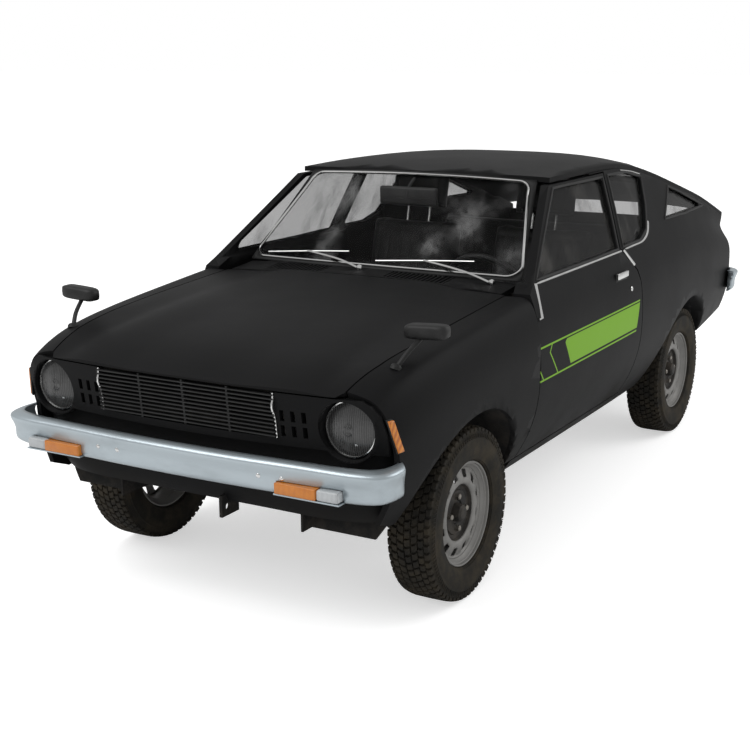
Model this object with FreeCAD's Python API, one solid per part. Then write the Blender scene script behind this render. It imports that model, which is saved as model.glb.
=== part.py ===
import FreeCAD, Part
import os
from math import cos, degrees, hypot, pi, radians, sin

# A compact three-door fastback coupe. Millimetres; the nose points to -Y, the car's
# left side is +X, +Z is up, and the origin lies on the floor under the middle of the car.

# ---- driving dimensions ---------------------------------------------------------------
FRONT_OVERHANG = 702.0      # front bumper face to front axle
WHEELBASE = 2340.0
REAR_OVERHANG = 898.0       # rear axle to rear bumper face
WIDTH = 1536.0              # over the widest part of the doors
HEIGHT = 1384.0             # floor to roof crown

TYRE_RADIUS = 305.0
TYRE_WIDTH = 170.0
RIM_RADIUS = 183.0
RIM_WIDTH = 128.0
FRONT_TRACK = 1280.0
REAR_TRACK = 1224.0
ARCH_TOP = 64.0             # arch above the tyre
ARCH_AHEAD = 148.0          # arch ahead of the tyre
ARCH_BEHIND = 78.0          # arch behind the tyre

PANEL = 20.0                # bonnet, wings and roof with their folded edges
DOOR = 66.0                 # door below the glass
FRAME = 32.0                # door frame and pillars beside the glass
SIDE_WALL = 60.0            # quarter panel with its inner trim
SHEET = 8.0                 # floor, bulkhead and wheelhouses with their ribs
GLASS = 5.0
GLASS_INSET = 12.0          # glass below the outer skin
GAP = 6.0                   # shut line
REST = 0.3                  # between a moving piece and what carries it
WIDE_GAP = 11.0             # shut line where a leaning door edge swings past its pillar
SEAT_WIDTH = 470.0


V = FreeCAD.Vector
HALF = (FRONT_OVERHANG + WHEELBASE + REAR_OVERHANG) / 2
FRONT_AXLE = FRONT_OVERHANG - HALF
REAR_AXLE = FRONT_AXLE + WHEELBASE


# ---- the grid on which the body's curves are drawn --------------------------------------
DRAWN_HALF, DRAWN_FRONT, DRAWN_REAR = 1970.0, -1268.0, 1072.0
KX = WIDTH / 1536.0
KZ = HEIGHT / 1384.0


def along(y):
    """A drawn station, moved with the overhangs and the wheelbase."""
    if y < DRAWN_FRONT:
        return FRONT_AXLE + (y - DRAWN_FRONT) * FRONT_OVERHANG / (DRAWN_HALF + DRAWN_FRONT)
    if y > DRAWN_REAR:
        return REAR_AXLE + (y - DRAWN_REAR) * REAR_OVERHANG / (DRAWN_HALF - DRAWN_REAR)
    return FRONT_AXLE + (y - DRAWN_FRONT) * WHEELBASE / (DRAWN_REAR - DRAWN_FRONT)


class Curve:
    """A natural cubic through a few drawn (station, value) points, scaled to the car."""

    def __init__(self, points, scale):
        self.at = [along(p[0]) for p in points]
        self.value = [p[1] * scale for p in points]
        count = len(points)
        step = [self.at[i + 1] - self.at[i] for i in range(count - 1)]
        rise = [(self.value[i + 1] - self.value[i]) / step[i] for i in range(count - 1)]
        self.bend = [0.0] * count
        upper, right = [0.0] * count, [0.0] * count
        for i in range(1, count - 1):
            pivot = 2 * (step[i - 1] + step[i]) - step[i - 1] * upper[i - 1]
            upper[i] = step[i] / pivot
            right[i] = (6 * (rise[i] - rise[i - 1]) - step[i - 1] * right[i - 1]) / pivot
        for i in range(count - 2, 0, -1):
            self.bend[i] = right[i] - upper[i] * self.bend[i + 1]

    def __call__(self, y):
        i = 0
        while i < len(self.at) - 2 and y > self.at[i + 1]:
            i += 1
        step = self.at[i + 1] - self.at[i]
        a, b = (self.at[i + 1] - y) / step, (y - self.at[i]) / step
        curl = (a ** 3 - a) * self.bend[i] + (b ** 3 - b) * self.bend[i + 1]
        return a * self.value[i] + b * self.value[i + 1] + curl * step ** 2 / 6


# half width at the widest height, belt height, upper edge of the side and its half width
BELLY = Curve([(-1950, 712), (-1840, 733), (-1600, 756), (-1268, 765), (-500, 768), (400, 765),
               (1072, 745), (1500, 720), (1950, 680)], KX)
BELT = Curve([(-1970, 1010), (900, 1014), (1300, 1005), (1600, 975), (1880, 925), (1970, 908)], KZ)
EDGE_Z = Curve([(-300, 1350), (0, 1354), (250, 1352), (505, 1338), (700, 1307), (980, 1243),
                (1250, 1172), (1523, 1098), (1750, 1026), (1950, 960)], KZ)
EDGE_X = Curve([(-300, 566), (100, 574), (500, 578), (980, 596), (1523, 622), (1950, 630)], KX)
CROWN_Z = Curve([(-300, 1356), (-150, 1371), (0, 1379), (200, 1384), (400, 1382), (600, 1372),
                 (850, 1343), (1100, 1294), (1350, 1228), (1600, 1150), (1800, 1070), (1950, 1000)], KZ)
# bonnet: middle height, height at its side shut line, shut line, crease
BONNET_Z = Curve([(-1970, 818), (-1905, 845), (-1800, 884), (-1600, 928), (-1300, 966), (-1000, 990),
                  (-700, 1003), (-620, 1006)], KZ)
WING_Z = Curve([(-1970, 780), (-1850, 850), (-1684, 903), (-1500, 928), (-1300, 944), (-1000, 963),
                (-700, 979), (-620, 982)], KZ)
BONNET_X = Curve([(-1970, 560), (-1850, 585), (-1684, 608), (-1250, 624), (-750, 620), (-620, 620)], KX)
CREASE_X = Curve([(-1970, 500), (-1700, 470), (-900, 385), (-620, 350)], KX)
BELLY_Z = 700.0 * KZ        # height of the widest line
SILL_Z = 322.0 * KZ         # lower edge of the sills
TUCK = 132.0 * KX           # how far the sill turns in below the widest line
SHOULDER = 60.0 * KX        # how far the belt stands in above it
NOSE_DEPTH = 48.0           # how far the nose bows forward in plan
NOSE_Y = along(-1905)       # foremost point of the nose panel
TAIL_Y = along(1905)        # rearmost point of the tail panel


def side_x(y, z):
    """Half width of the body's outer skin at a station and a height."""
    if z <= BELLY_Z:
        return BELLY(y) - TUCK * ((BELLY_Z - z) / (BELLY_Z - SILL_Z)) ** 2.2
    belt = BELT(y)
    if z <= belt:
        return BELLY(y) - SHOULDER * ((z - BELLY_Z) / (belt - BELLY_Z)) ** 2.6
    climb = (z - belt) / (EDGE_Z(y) - belt)
    foot = BELLY(y) - SHOULDER
    return foot - (foot - EDGE_X(y)) * climb + 9 * climb * (1 - climb)


def roof_z(x, y):
    """Height of the roof and of the sloping back."""
    return CROWN_Z(y) - (CROWN_Z(y) - EDGE_Z(y)) * abs(x / EDGE_X(y)) ** 3


def front_section(y):
    """Outer skin ahead of the doors, from the middle of the bonnet down to the sill."""
    mid, rim, crease, seam = BONNET_Z(y), WING_Z(y), CREASE_X(y), BONNET_X(y)
    back = min(1.0, max(0.0, (y - along(-1840)) / (along(-800) - along(-1840))))
    shoulder = BELLY(y)
    points = [(0, mid), (crease * 0.5, mid - 2), (crease - 18, mid - 7), (crease + 22, mid - 13)]
    points += [((crease + seam) / 2 + 12, (mid - 13 + rim) / 2 - 1), (seam, rim)]
    points += [(seam + (shoulder - seam) * 0.32, rim - 10 + 12 * back)]
    points += [(seam + (shoulder - seam) * 0.62, rim - 29 + 26 * back)]
    points += [(shoulder - 32 * KX, rim - 58 + 26 * back)]
    points += [(shoulder - 15 * KX, rim - 104 + 26 * back)]
    low = SILL_Z - 10
    top = rim - 190 + 26 * back
    points += [(side_x(y, z) if z < BELLY_Z else shoulder, z) for z in
               [top + (low - top) * i / 6 for i in range(7)]]
    return points


# ---- solids from outlines ---------------------------------------------------------------
def spline(points):
    """A smooth curve through points."""
    curve = Part.BSplineCurve()
    curve.interpolate([V(*p) for p in points])
    return curve.toShape()


def band(outer, inner):
    """Closed wire between an outer line and an inner one."""
    return Part.Wire([spline(outer), Part.makeLine(V(*outer[-1]), V(*inner[-1])),
                      spline(inner[::-1]), Part.makeLine(V(*inner[0]), V(*outer[0]))])


def loft(wires, ruled=False):
    """A solid skinned over closed wires."""
    return Part.makeLoft(wires, True, ruled)


def box(x0, x1, y0, y1, z0, z1):
    """A block between two corners."""
    return Part.makeBox(x1 - x0, y1 - y0, z1 - z0, V(x0, y0, z0))


def rod(start, end, radius):
    """A round bar from one point to another."""
    start, end = V(*start), V(*end)
    return Part.makeCylinder(radius, (end - start).Length, start, end - start)


def prism(points, axis, start, end, radius=0.0):
    """A polygon drawn in the two other axes, pushed along x, y or z, with round corners."""
    place = {"x": lambda a, b: V(start, a, b), "y": lambda a, b: V(a, start, b),
             "z": lambda a, b: V(a, b, start)}[axis]
    way = {"x": V(1, 0, 0), "y": V(0, 1, 0), "z": V(0, 0, 1)}[axis]
    corners = [place(*p) for p in points]
    solid = Part.Face(Part.makePolygon(corners + corners[:1])).extrude(way * (end - start))
    if not radius:
        return solid
    edges = [e for e in solid.Edges
             if abs(abs((e.Vertexes[-1].Point - e.Vertexes[0].Point).normalize().dot(way)) - 1) < 1e-6]
    return solid.makeFillet(radius, edges)


def mirror(solid):
    """The same shape on the other side of the car."""
    return solid.mirror(V(0, 0, 0), V(1, 0, 0))


def both(solid):
    """A shape and its mirror image."""
    return [solid, mirror(solid)]


def join(solids):
    """One solid from pieces that overlap or touch."""
    return solids[0].fuse(solids[1:]).removeSplitter()


def save(node, shapes):
    """Write the solids of one node, refusing a broken or missing one."""
    shapes = shapes if isinstance(shapes, list) else [shapes]
    solids = [s for shape in shapes for s in shape.Solids]
    bad = [s for s in solids if not s.isValid()]
    print("%-20s %d solids %s" % (node, len(solids), "NOT VALID" if bad else ""))
    Part.makeCompound(solids).exportStep("parts/%s.step" % node)


# ---- outlines shared by neighbours ------------------------------------------------------
DOOR_FRONT, DOOR_REAR = along(-797), along(291)
DOOR_LOW = 372.0 * KZ
BELT_Z = BELT(along(0))
PILLAR_FOOT = along(152)            # door's rear edge at the belt
PILLAR_HEAD = along(240)            # and at the roof
SCREEN_FOOT = along(-628)           # windscreen corner at the cowl
SCREEN_HEAD = along(-284)           # windscreen corner at the roof
SCREEN_FOOT_X, SCREEN_HEAD_X = 606.0 * KX, 512.0 * KX
SCREEN_FOOT_Z, SCREEN_HEAD_Z = 1001.0 * KZ, 1336.0 * KZ
COWL_FRONT, COWL_BACK = along(-786), along(-640)
DOOR_HEAD = EDGE_Z(along(-300)) - PANEL - GAP
LEAN = (along(-318) - along(-752)) / (DOOR_HEAD - BELT_Z)


def door_outline(grow=0.0):
    """Side view of the door; grow widens it, and twice where it leans past its pillar."""
    lean = grow * WIDE_GAP / GAP
    return [(DOOR_FRONT - grow, DOOR_LOW - grow), (DOOR_REAR + grow, DOOR_LOW - grow),
            (DOOR_REAR + grow, BELT_Z - 150 * KZ), (DOOR_REAR - 22 + lean, BELT_Z - 96 * KZ),
            (PILLAR_FOOT + 40 + lean, BELT_Z - 25 * KZ), (PILLAR_FOOT + lean, BELT_Z + 8),
            (PILLAR_HEAD + lean, DOOR_HEAD + grow), (along(-318) - lean, DOOR_HEAD + grow),
            (along(-752) - grow, BELT_Z - 4), (DOOR_FRONT - grow, BELT_Z - 30 * KZ)]


def door_window():
    """The window opening of a door, seen from the side."""
    rim = 22.0
    return [(along(-752) + rim + 24, BELT_Z + 10), (PILLAR_FOOT - rim, BELT_Z + 10),
            (PILLAR_HEAD - rim - 6, DOOR_HEAD - 16), (along(-318) + rim + 8, DOOR_HEAD - 16)]


def quarter_window():
    """The window opening behind the door."""
    foot, head = PILLAR_FOOT + 44, PILLAR_HEAD + 40
    return [(foot, BELT_Z + 12), (along(420), BELT_Z + 14), (along(528), BELT_Z + 46 * KZ),
            (along(610), BELT_Z + 140 * KZ), (along(672), EDGE_Z(along(672)) - PANEL - 22),
            (along(500), EDGE_Z(along(500)) - PANEL - 16), (head, DOOR_HEAD - 14)]


def rear_side_window():
    """The louvred opening in the rear pillar."""
    return [(along(818), BELT_Z + 54 * KZ), (along(1516), EDGE_Z(along(1516)) - 44),
            (along(1270), EDGE_Z(along(1270)) - 40), (along(1026), EDGE_Z(along(1026)) - 36)]


def arch(axle, reach=0.0, start=300.0, end=900.0):
    """The wheel arch as a prism: an oval that reaches further ahead of the wheel."""
    top = TYRE_RADIUS + ARCH_TOP + reach
    points = []
    for i in range(13):
        turn = pi * i / 12
        side = ARCH_BEHIND if cos(turn) > 0 else ARCH_AHEAD
        points.append((start, axle + (TYRE_RADIUS + side + reach) * cos(turn),
                       TYRE_RADIUS + top * sin(turn)))
    low = [(start, points[-1][1], -50.0), (start, points[0][1], -50.0)]
    wire = Part.Wire([spline(points), Part.makeLine(V(*points[-1]), V(*low[0])),
                      Part.makeLine(V(*low[0]), V(*low[1])), Part.makeLine(V(*low[1]), V(*points[0]))])
    return Part.Face(wire).extrude(V(end - start, 0, 0))


# ---- body sides -------------------------------------------------------------------------
SIDE_STATIONS = [-830, -500, -150, 200, 480, 740, 1000, 1250, 1500, 1720, 1830, 1895]
SIDE_SHARES = [0, 0.12, 0.25, 0.39, 0.54, 0.7, 0.85, 1]


def side_band(outer, inner):
    """The body side from sill to roof edge, between two depths below the skin."""
    wires = []
    for drawn in SIDE_STATIONS:
        y = along(drawn)
        belt, edge, low = BELT(y), EDGE_Z(y) - PANEL, SILL_Z - 10
        heights = [low + (belt - low) * s for s in SIDE_SHARES]
        heights += [belt + (edge - belt) * s for s in (0.33, 0.67, 1.0)]
        line = [(side_x(y, z), y, z) for z in heights]
        wires.append(band([(x - outer, y, z) for x, y, z in line],
                          [(x - inner, y, z) for x, y, z in line]))
    return loft(wires)


def make_door(slab, step):
    """Whole door: a thick panel and, above the belt, a thinner frame round the window."""
    door = slab.common(prism(door_outline(), "x", 300, 900)).cut(step)
    return door.cut(prism(door_window(), "x", 300, 900, 26))


def make_quarter(slab, step):
    """Rear side panel with the door pillar, the roof pillar and the wheel arch."""
    foot = BELT_Z - 160 * KZ
    keep = prism([(DOOR_REAR + GAP, SILL_Z), (REAR_AXLE, SILL_Z), (along(1420), 430 * KZ),
                  (along(1890), 470 * KZ), (along(1890), HEIGHT), (PILLAR_FOOT - 60, HEIGHT),
                  (PILLAR_FOOT - 60, foot), (DOOR_REAR + GAP, foot)], "x", 300, 900)
    shape = slab.common(keep).cut(step)
    shape = shape.cut(prism(door_outline(GAP), "x", 300, 900)).cut(arch(REAR_AXLE))
    shape = shape.cut(prism(quarter_window(), "x", 300, 900, 24))
    shape = shape.cut(prism(rear_side_window(), "x", 300, 900, 12))
    return max(shape.Solids, key=lambda s: s.Volume)


def make_sides():
    """Quarter panel and sill of the left side."""
    wall = side_band(0, SIDE_WALL)
    step = side_band(FRAME, DOOR + 20).common(box(300, 900, -HALF, HALF, BELT_Z, HEIGHT * 1.2))
    pane = side_band(GLASS_INSET, GLASS_INSET + GLASS)
    door = make_door(side_band(0, DOOR), step)
    quarter = make_quarter(wall, step)
    for name, turn in (("left", lambda s: s), ("right", mirror)):
        save("door_" + name, turn(door))
        save("door_glass_" + name, turn(pane.common(prism(door_window(), "x", 300, 900, 26))))
    panes = [pane.common(prism(quarter_window(), "x", 300, 900, 24)),
             pane.common(prism(rear_side_window(), "x", 300, 900, 12))]
    save("quarter_glass", panes + [mirror(p) for p in panes])
    sill = wall.common(box(300, 900, FRONT_AXLE, REAR_AXLE, SILL_Z, DOOR_LOW - GAP))
    sill = sill.cut(arch(FRONT_AXLE)).cut(prism([(DOOR_REAR + GAP, 0), (REAR_AXLE, 0), (REAR_AXLE, HEIGHT),
                                                 (DOOR_REAR + GAP, HEIGHT)], "x", 300, 900))
    return quarter, max(sill.Solids, key=lambda s: s.Volume)


# ---- front of the body ------------------------------------------------------------------
FRONT_STATIONS = [-1870, -1800, -1700, -1560, -1400, -1200, -1000, -880, -770]


def nose_y(x, z):
    """Front face of the nose: bowed in plan, and leaning back below the lamps."""
    spread = abs(x) / (730 * KX)
    lean = 0.10 + 0.16 * spread ** 2
    return NOSE_Y + NOSE_DEPTH * spread ** 2 + lean * (850 * KZ - z)


def make_front_wing():
    """Front wing from the nose to the door, with its wheel arch."""
    wires = []
    for drawn in FRONT_STATIONS:
        line = [(x, along(drawn), z) for x, z in front_section(along(drawn))[4:]]
        inner = [(x - (PANEL if i > 1 else 0), y, z - PANEL) if i < 6 else (x - PANEL, y, z)
                 for i, (x, y, z) in enumerate(line)]
        wires.append(band(line, inner))
    wing = loft(wires)
    seam = [(BONNET_X(along(d)) + GAP / 2, along(d)) for d in (-1970, -1850, -1684, -1500, -1250, -1000)]
    seam += [(BONNET_X(COWL_FRONT) + GAP / 2, COWL_FRONT - GAP / 2)]
    seam += [(BONNET_X(COWL_FRONT) + GAP / 2, along(-700)), (900, along(-700)), (900, -HALF)]
    front = [(nose_y(730 * KX, z) + 12, z) for z in (900 * KZ, 770 * KZ, 640 * KZ)]
    side = front + [(along(-1806), 430 * KZ), (along(-1740), 404 * KZ), (FRONT_AXLE, 404 * KZ),
                    (FRONT_AXLE, SILL_Z), (DOOR_FRONT - GAP, SILL_Z), (DOOR_FRONT - GAP, HEIGHT),
                    (along(-1870), HEIGHT)]
    low = box(300, 900, FRONT_AXLE, DOOR_FRONT, 0, DOOR_LOW)
    wing = wing.common(prism(seam, "z", 0, HEIGHT)).common(prism(side, "x", 300, 900))
    wing = wing.cut(arch(FRONT_AXLE)).cut(low)
    return max(wing.Solids, key=lambda s: s.Volume)


def bonnet_line(y, depth):
    """Section across the bonnet from side to side."""
    half = [(x, y, z - depth) for x, z in front_section(y)[:6]]
    return [(-x, y, z) for x, y, z in half[:0:-1]] + half


def make_bonnet():
    """Bonnet between the wings."""
    slab = loft([band(bonnet_line(along(d), 0), bonnet_line(along(d), PANEL))
                 for d in (-1905, -1850, -1780, -1650, -1450, -1250, -1050, -880, -770)])
    right = [(BONNET_X(along(d)) - GAP / 2, along(d)) for d in (-1850, -1684, -1500, -1250, -1000)]
    right += [(BONNET_X(COWL_FRONT) - GAP / 2, COWL_FRONT - GAP)]
    nose = [(x * KX, nose_y(x * KX, 850 * KZ) - 2) for x in (0, 200, 400, 560)]
    edge = nose + right
    outline = edge + [(-x, y) for x, y in edge[:0:-1]]
    below = box(-HALF, HALF, -HALF, NOSE_Y + 70, 300, GRILLE_HIGH + GAP)
    return slab.common(prism(outline, "z", 300, HEIGHT)).cut(below)


def make_cowl():
    """Panel between bonnet and windscreen, with two slotted vents."""
    stations = [(COWL_FRONT, 0), (along(-720), 2), (COWL_BACK, 6)]
    wires = []
    for y, lift in stations:
        half = [(x * KX, y, WING_Z(y) + (BONNET_Z(y) - WING_Z(y)) * (1 - (x / 640) ** 2) + lift)
                for x in (0, 150, 300, 450, 600)]
        top = [(-x, y, z) for x, y, z in half[:0:-1]] + half
        wires.append(band(top, [(x, y, z - PANEL) for x, y, z in top]))
    cowl = loft(wires)
    screen = screen_corners(0)[0]
    behind = [(p[0], p[1] - 1) for p in screen]
    behind += [(900, SCREEN_FOOT), (900, 0), (-900, 0), (-900, SCREEN_FOOT)]
    cowl = cowl.cut(prism(behind, "z", 600, HEIGHT))
    vents = [box(x * KX, (x + 262) * KX, along(-770), along(-668), 900 * KZ, HEIGHT) for x in (-446, 96)]
    floors = [v.common(box(-800, 800, -HALF, 0, 900 * KZ, 975 * KZ)).common(cowl) for v in vents]
    ribs = []
    for x in (-446, 96):
        for i in range(14):
            place = (x + 8 + i * 18.5) * KX
            ribs.append(box(place, place + 8, along(-770), along(-668), 940 * KZ, HEIGHT).common(cowl))
    return join([cowl.cut(vents[0]).cut(vents[1])] + [s for s in floors + ribs if s.Solids])


def make_nose():
    """Front panel with the grille opening and two lamp wells."""
    low, high = NOSE_LOW, GRILLE_HIGH
    wires = []
    for i in range(9):
        x = (i - 4) * 178 * KX
        line = [(x, nose_y(x, z), z) for z in (low, low + 60, (low + high) / 2, high)]
        wires.append(band(line, [(x, y + PANEL, z) for x, y, z in line]))
    panel = loft(wires)
    opening = box(-GRILLE_HALF, GRILLE_HALF, -HALF, NOSE_Y + 200, GRILLE_LOW, GRILLE_HIGH)
    frame = [(x - 2, z - 2) for x, z in front_section(along(-1850))]
    frame = [(x, z) for x, z in frame if z > low - 40]
    outline = [(-x, z) for x, z in frame[:0:-1]] + frame
    panel = panel.cut(opening).common(prism(outline, "y", -HALF, 0))
    for side in (-1, 1):
        x, y = side * LAMP_X, LAMP_Y
        well = rod((x, y - 120, LAMP_Z), (x, y + 60, LAMP_Z), LAMP_WELL)
        bucket = rod((x, nose_y(x, LAMP_Z) + 4, LAMP_Z), (x, y + 60, LAMP_Z), LAMP_WELL + SHEET)
        inner = rod((x, y - 120, LAMP_Z), (x, y + 50, LAMP_Z), LAMP_WELL)
        panel = panel.cut(well).fuse(bucket.cut(inner))
        for row in range(2):
            for slot in range(3):
                place, level = side * (372 + slot * 38) * KX, (690 + row * 50) * KZ
                panel = panel.cut(box(place - 8, place + 8, NOSE_Y - 50, NOSE_Y + 120, level, level + 36))
    return panel


NOSE_LOW = 656.0 * KZ
GRILLE_HALF = 352.0 * KX
GRILLE_LOW, GRILLE_HIGH = 682.0 * KZ, 832.0 * KZ
LAMP_X, LAMP_Y, LAMP_Z = 588.0 * KX, along(-1822), 730.0 * KZ
LAMP_RADIUS, LAMP_WELL = 88.0, 95.0


def make_grille():
    """Horizontal slats tied by three uprights, with an end plate at each side."""
    y = NOSE_Y + 6
    reach = GRILLE_HALF - 1
    slats = []
    for i in range(11):
        z = GRILLE_LOW + 8 + i * (GRILLE_HIGH - GRILLE_LOW - 24) / 10
        slats.append(box(-reach, reach, y + 10 * (1 - i / 10), y + 30, z, z + 6))
    bars = [box(x - 4, x + 4, y + 8, y + 34, GRILLE_LOW, GRILLE_HIGH) for x in (-176 * KX, 0, 176 * KX)]
    ends = [box(min(s * reach, s * (reach - 8)), max(s * reach, s * (reach - 8)), y - 4, y + 34,
                GRILLE_LOW, GRILLE_HIGH) for s in (-1, 1)]
    back = box(-reach, reach, y + 30, y + 34, GRILLE_LOW, GRILLE_HIGH)
    return join(slats + bars + ends + [back])


def make_valance():
    """Apron below the nose, wrapped round to the wings, with two slots and a tow eye."""
    wires = []
    for z, half, y in ((650, 712, -1822), (560, 708, -1824), (480, 690, -1820), (414, 660, -1800)):
        line = [(0, y), (300, y + 1), (520, y + 10)]
        line += [(half - 62, y + 34), (half - 20, y + 66), (half, y + 112)]
        outer = [(x * KX, along(v), z * KZ) for x, v in line]
        outer = [(-a, b, c) for a, b, c in outer[:0:-1]] + outer
        wires.append(band(outer, [(x * (1 - 16 / (720 * KX)), v + 14, w) for x, v, w in outer]))
    apron = loft(wires)
    slots = [box(min(s * 88, s * 228) * KX, max(s * 88, s * 228) * KX, along(-1900), along(-1760),
                 485 * KZ, 510 * KZ) for s in (-1, 1)]
    for slot in slots:
        apron = apron.cut(slot)
    return apron


EYE_X, EYE_Y, EYE_Z, EYE_RADIUS, EYE_PLATE = 90.0, along(-1798), 392.0 * KZ, 13.0, 12.0


def make_tow_eye():
    """Plate with a round eye that hangs below the front cross member."""
    plate = box(EYE_X - EYE_PLATE / 2, EYE_X + EYE_PLATE / 2, EYE_Y - 34, EYE_Y + 60, EYE_Z - 30, 436 * KZ)
    eye = rod((EYE_X - EYE_PLATE, EYE_Y, EYE_Z), (EYE_X + EYE_PLATE, EYE_Y, EYE_Z), EYE_RADIUS)
    return plate.cut(eye)


def bumper_ring(face, half, corner, reach, heights, bows):
    """Bumper blade: one section swept in plan from tip to tip, as lofted bands.

    face is the foremost station (towards -Y), half the half width, corner the corner
    radius, reach how far the tip runs back, heights the section's levels and bows how
    far each level stands behind the face.
    """
    wires = []
    inner_depth = 34.0
    for level, bow in zip(heights, bows):
        out_half, out_face = half - bow, face + bow
        line = [(0, out_face), (half * 0.35, out_face + 5), (half * 0.7, out_face + 20)]
        line += [(out_half - corner, out_face + 36),
                 (out_half - corner * 0.25, out_face + 36 + corner * 0.36)]
        line += [(out_half, out_face + 36 + corner), (out_half + 1, out_face + 36 + corner + reach)]
        outer = [(x, y, level) for x, y in line]
        outer = [(-x, y, z) for x, y, z in outer[:0:-1]] + outer
        scale = 1 - (inner_depth - bow) / half
        inner = [(x * scale, max(y + inner_depth - bow, y), z) for x, y, z in outer]
        inner[0] = (inner[0][0], outer[0][1], level)
        inner[-1] = (inner[-1][0], outer[-1][1], level)
        wires.append(band(outer, inner))
    return loft(wires)


BUMPER_LEVELS = [level * KZ for level in (528, 552, 585, 612, 636)]
BUMPER_BOWS = [24.0, 10.0, 8.0, 0.0, 22.0]


def make_front_bumper():
    """Front bumper wrapped round the nose."""
    return bumper_ring(-HALF, WIDTH / 2 - 4, 70, 60, BUMPER_LEVELS, BUMPER_BOWS)


def make_rear_bumper():
    """Rear bumper wrapped round the tail."""
    levels = [level + 54 * KZ for level in BUMPER_LEVELS]
    blade = bumper_ring(-HALF, WIDTH / 2 - 30 * KX, 70, 60, levels, BUMPER_BOWS)
    blade.rotate(V(0, 0, 0), V(0, 0, 1), 180)
    return blade


# ---- roof, screen and tail --------------------------------------------------------------
ROOF_STATIONS = [-296, -200, -80, 100, 300, 500, 700, 880, 1080, 1300, 1500, 1700, 1810, 1895]
HATCH_FRONT, HATCH_REAR = along(878), along(1855)
HATCH_TOP_X, HATCH_LOW_X = 500.0 * KX, 556.0 * KX


def roof_band(outer, inner, share=1.0):
    """A layer of the roof between two depths below its skin."""
    wires = []
    for drawn in ROOF_STATIONS:
        y = along(drawn)
        half = EDGE_X(y) * share
        line = [(half * i / 7, y, roof_z(half * i / 7, y)) for i in range(-7, 8)]
        wires.append(band([(x, y, z - outer) for x, y, z in line], [(x, y, z - inner) for x, y, z in line]))
    return loft(wires)


def hatch_outline(grow=0.0):
    """The tailgate seen from above, grown by a shut line."""
    return [(-HATCH_TOP_X - grow, HATCH_FRONT - grow), (HATCH_TOP_X + grow, HATCH_FRONT - grow),
            (HATCH_LOW_X + grow, HATCH_REAR + grow), (-HATCH_LOW_X - grow, HATCH_REAR + grow)]


def hatch_window():
    """The tailgate window seen from above."""
    top, low = along(950), along(1490)
    return [(-HATCH_TOP_X + 66, top), (HATCH_TOP_X - 66, top),
            (HATCH_LOW_X - 84, low), (-HATCH_LOW_X + 84, low)]


def screen_corners(depth):
    """Middle and corner points of the windscreen's lower and upper edge."""
    run, rise = SCREEN_HEAD - SCREEN_FOOT, SCREEN_HEAD_Z - SCREEN_FOOT_Z
    reach = hypot(run, rise)
    back, down = depth * rise / reach, -depth * run / reach
    low = [(x * SCREEN_FOOT_X, SCREEN_FOOT - 52 * (1 - x * x) + back, SCREEN_FOOT_Z + 8 * (1 - x * x) + down)
           for x in (-1, -0.5, 0, 0.5, 1)]
    high = [(x * SCREEN_HEAD_X, SCREEN_HEAD - 26 * (1 - x * x) + back,
             SCREEN_HEAD_Z + 14 * (1 - x * x) + down) for x in (-1, -0.5, 0, 0.5, 1)]
    return low, high


def make_windscreen():
    """Curved windscreen between the pillars."""
    low, high = screen_corners(6)
    run, rise = SCREEN_HEAD - SCREEN_FOOT, SCREEN_HEAD_Z - SCREEN_FOOT_Z
    inward = V(0, rise, -run) * (GLASS / hypot(run, rise))
    return Part.makeRuledSurface(spline(low), spline(high)).extrude(inward)


def quad(points):
    """A closed wire through a few corners."""
    return Part.makePolygon([V(*p) for p in points + points[:1]])


def make_pillar():
    """Windscreen pillar between the glass and the door frame."""
    foot_z, head_z = BELT_Z - 24 * KZ, EDGE_Z(SCREEN_HEAD) - 4
    wires = []
    for z in (foot_z, (foot_z + head_z) / 2, head_z):
        share = (z - SCREEN_FOOT_Z) / (SCREEN_HEAD_Z - SCREEN_FOOT_Z)
        glass_x = SCREEN_FOOT_X + (SCREEN_HEAD_X - SCREEN_FOOT_X) * share + 1
        glass_y = SCREEN_FOOT + (SCREEN_HEAD - SCREEN_FOOT) * share
        door_y = along(-752) + LEAN * (z - BELT_Z)
        skin = side_x(along(-300), max(z, BELT_Z))
        wires.append(quad([(glass_x, glass_y - 6, z), (skin - 6, door_y - 2 * WIDE_GAP, z),
                           (skin - FRAME, door_y - 2 * WIDE_GAP, z), (glass_x - 2, glass_y + 40, z)]))
    return loft(wires, True)


def make_roof():
    """Roof skin with the windscreen pillars."""
    roof = roof_band(0, PANEL)
    roof = roof.cut(prism(hatch_outline(GAP), "z", 600, HEIGHT * 1.2))
    screen_top = screen_corners(0)[1]
    front = [(-1000, SCREEN_HEAD - 1)] + [(p[0], p[1] + 4) for p in screen_top] + [(1000, SCREEN_HEAD - 1)]
    roof = roof.common(prism(front + [(1000, HALF), (-1000, HALF)], "z", 600, HEIGHT * 1.2))
    pillar = make_pillar()
    return join([roof, pillar, mirror(pillar)])


def make_hatch():
    """Tailgate and its glass."""
    slab = roof_band(0, PANEL + 6)
    hatch = slab.common(prism(hatch_outline(), "z", 600, HEIGHT * 1.2))
    window = prism(hatch_window(), "z", 600, HEIGHT * 1.2, 60)
    glass = roof_band(6, 6 + GLASS).common(window)
    return hatch.cut(window), glass


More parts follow.
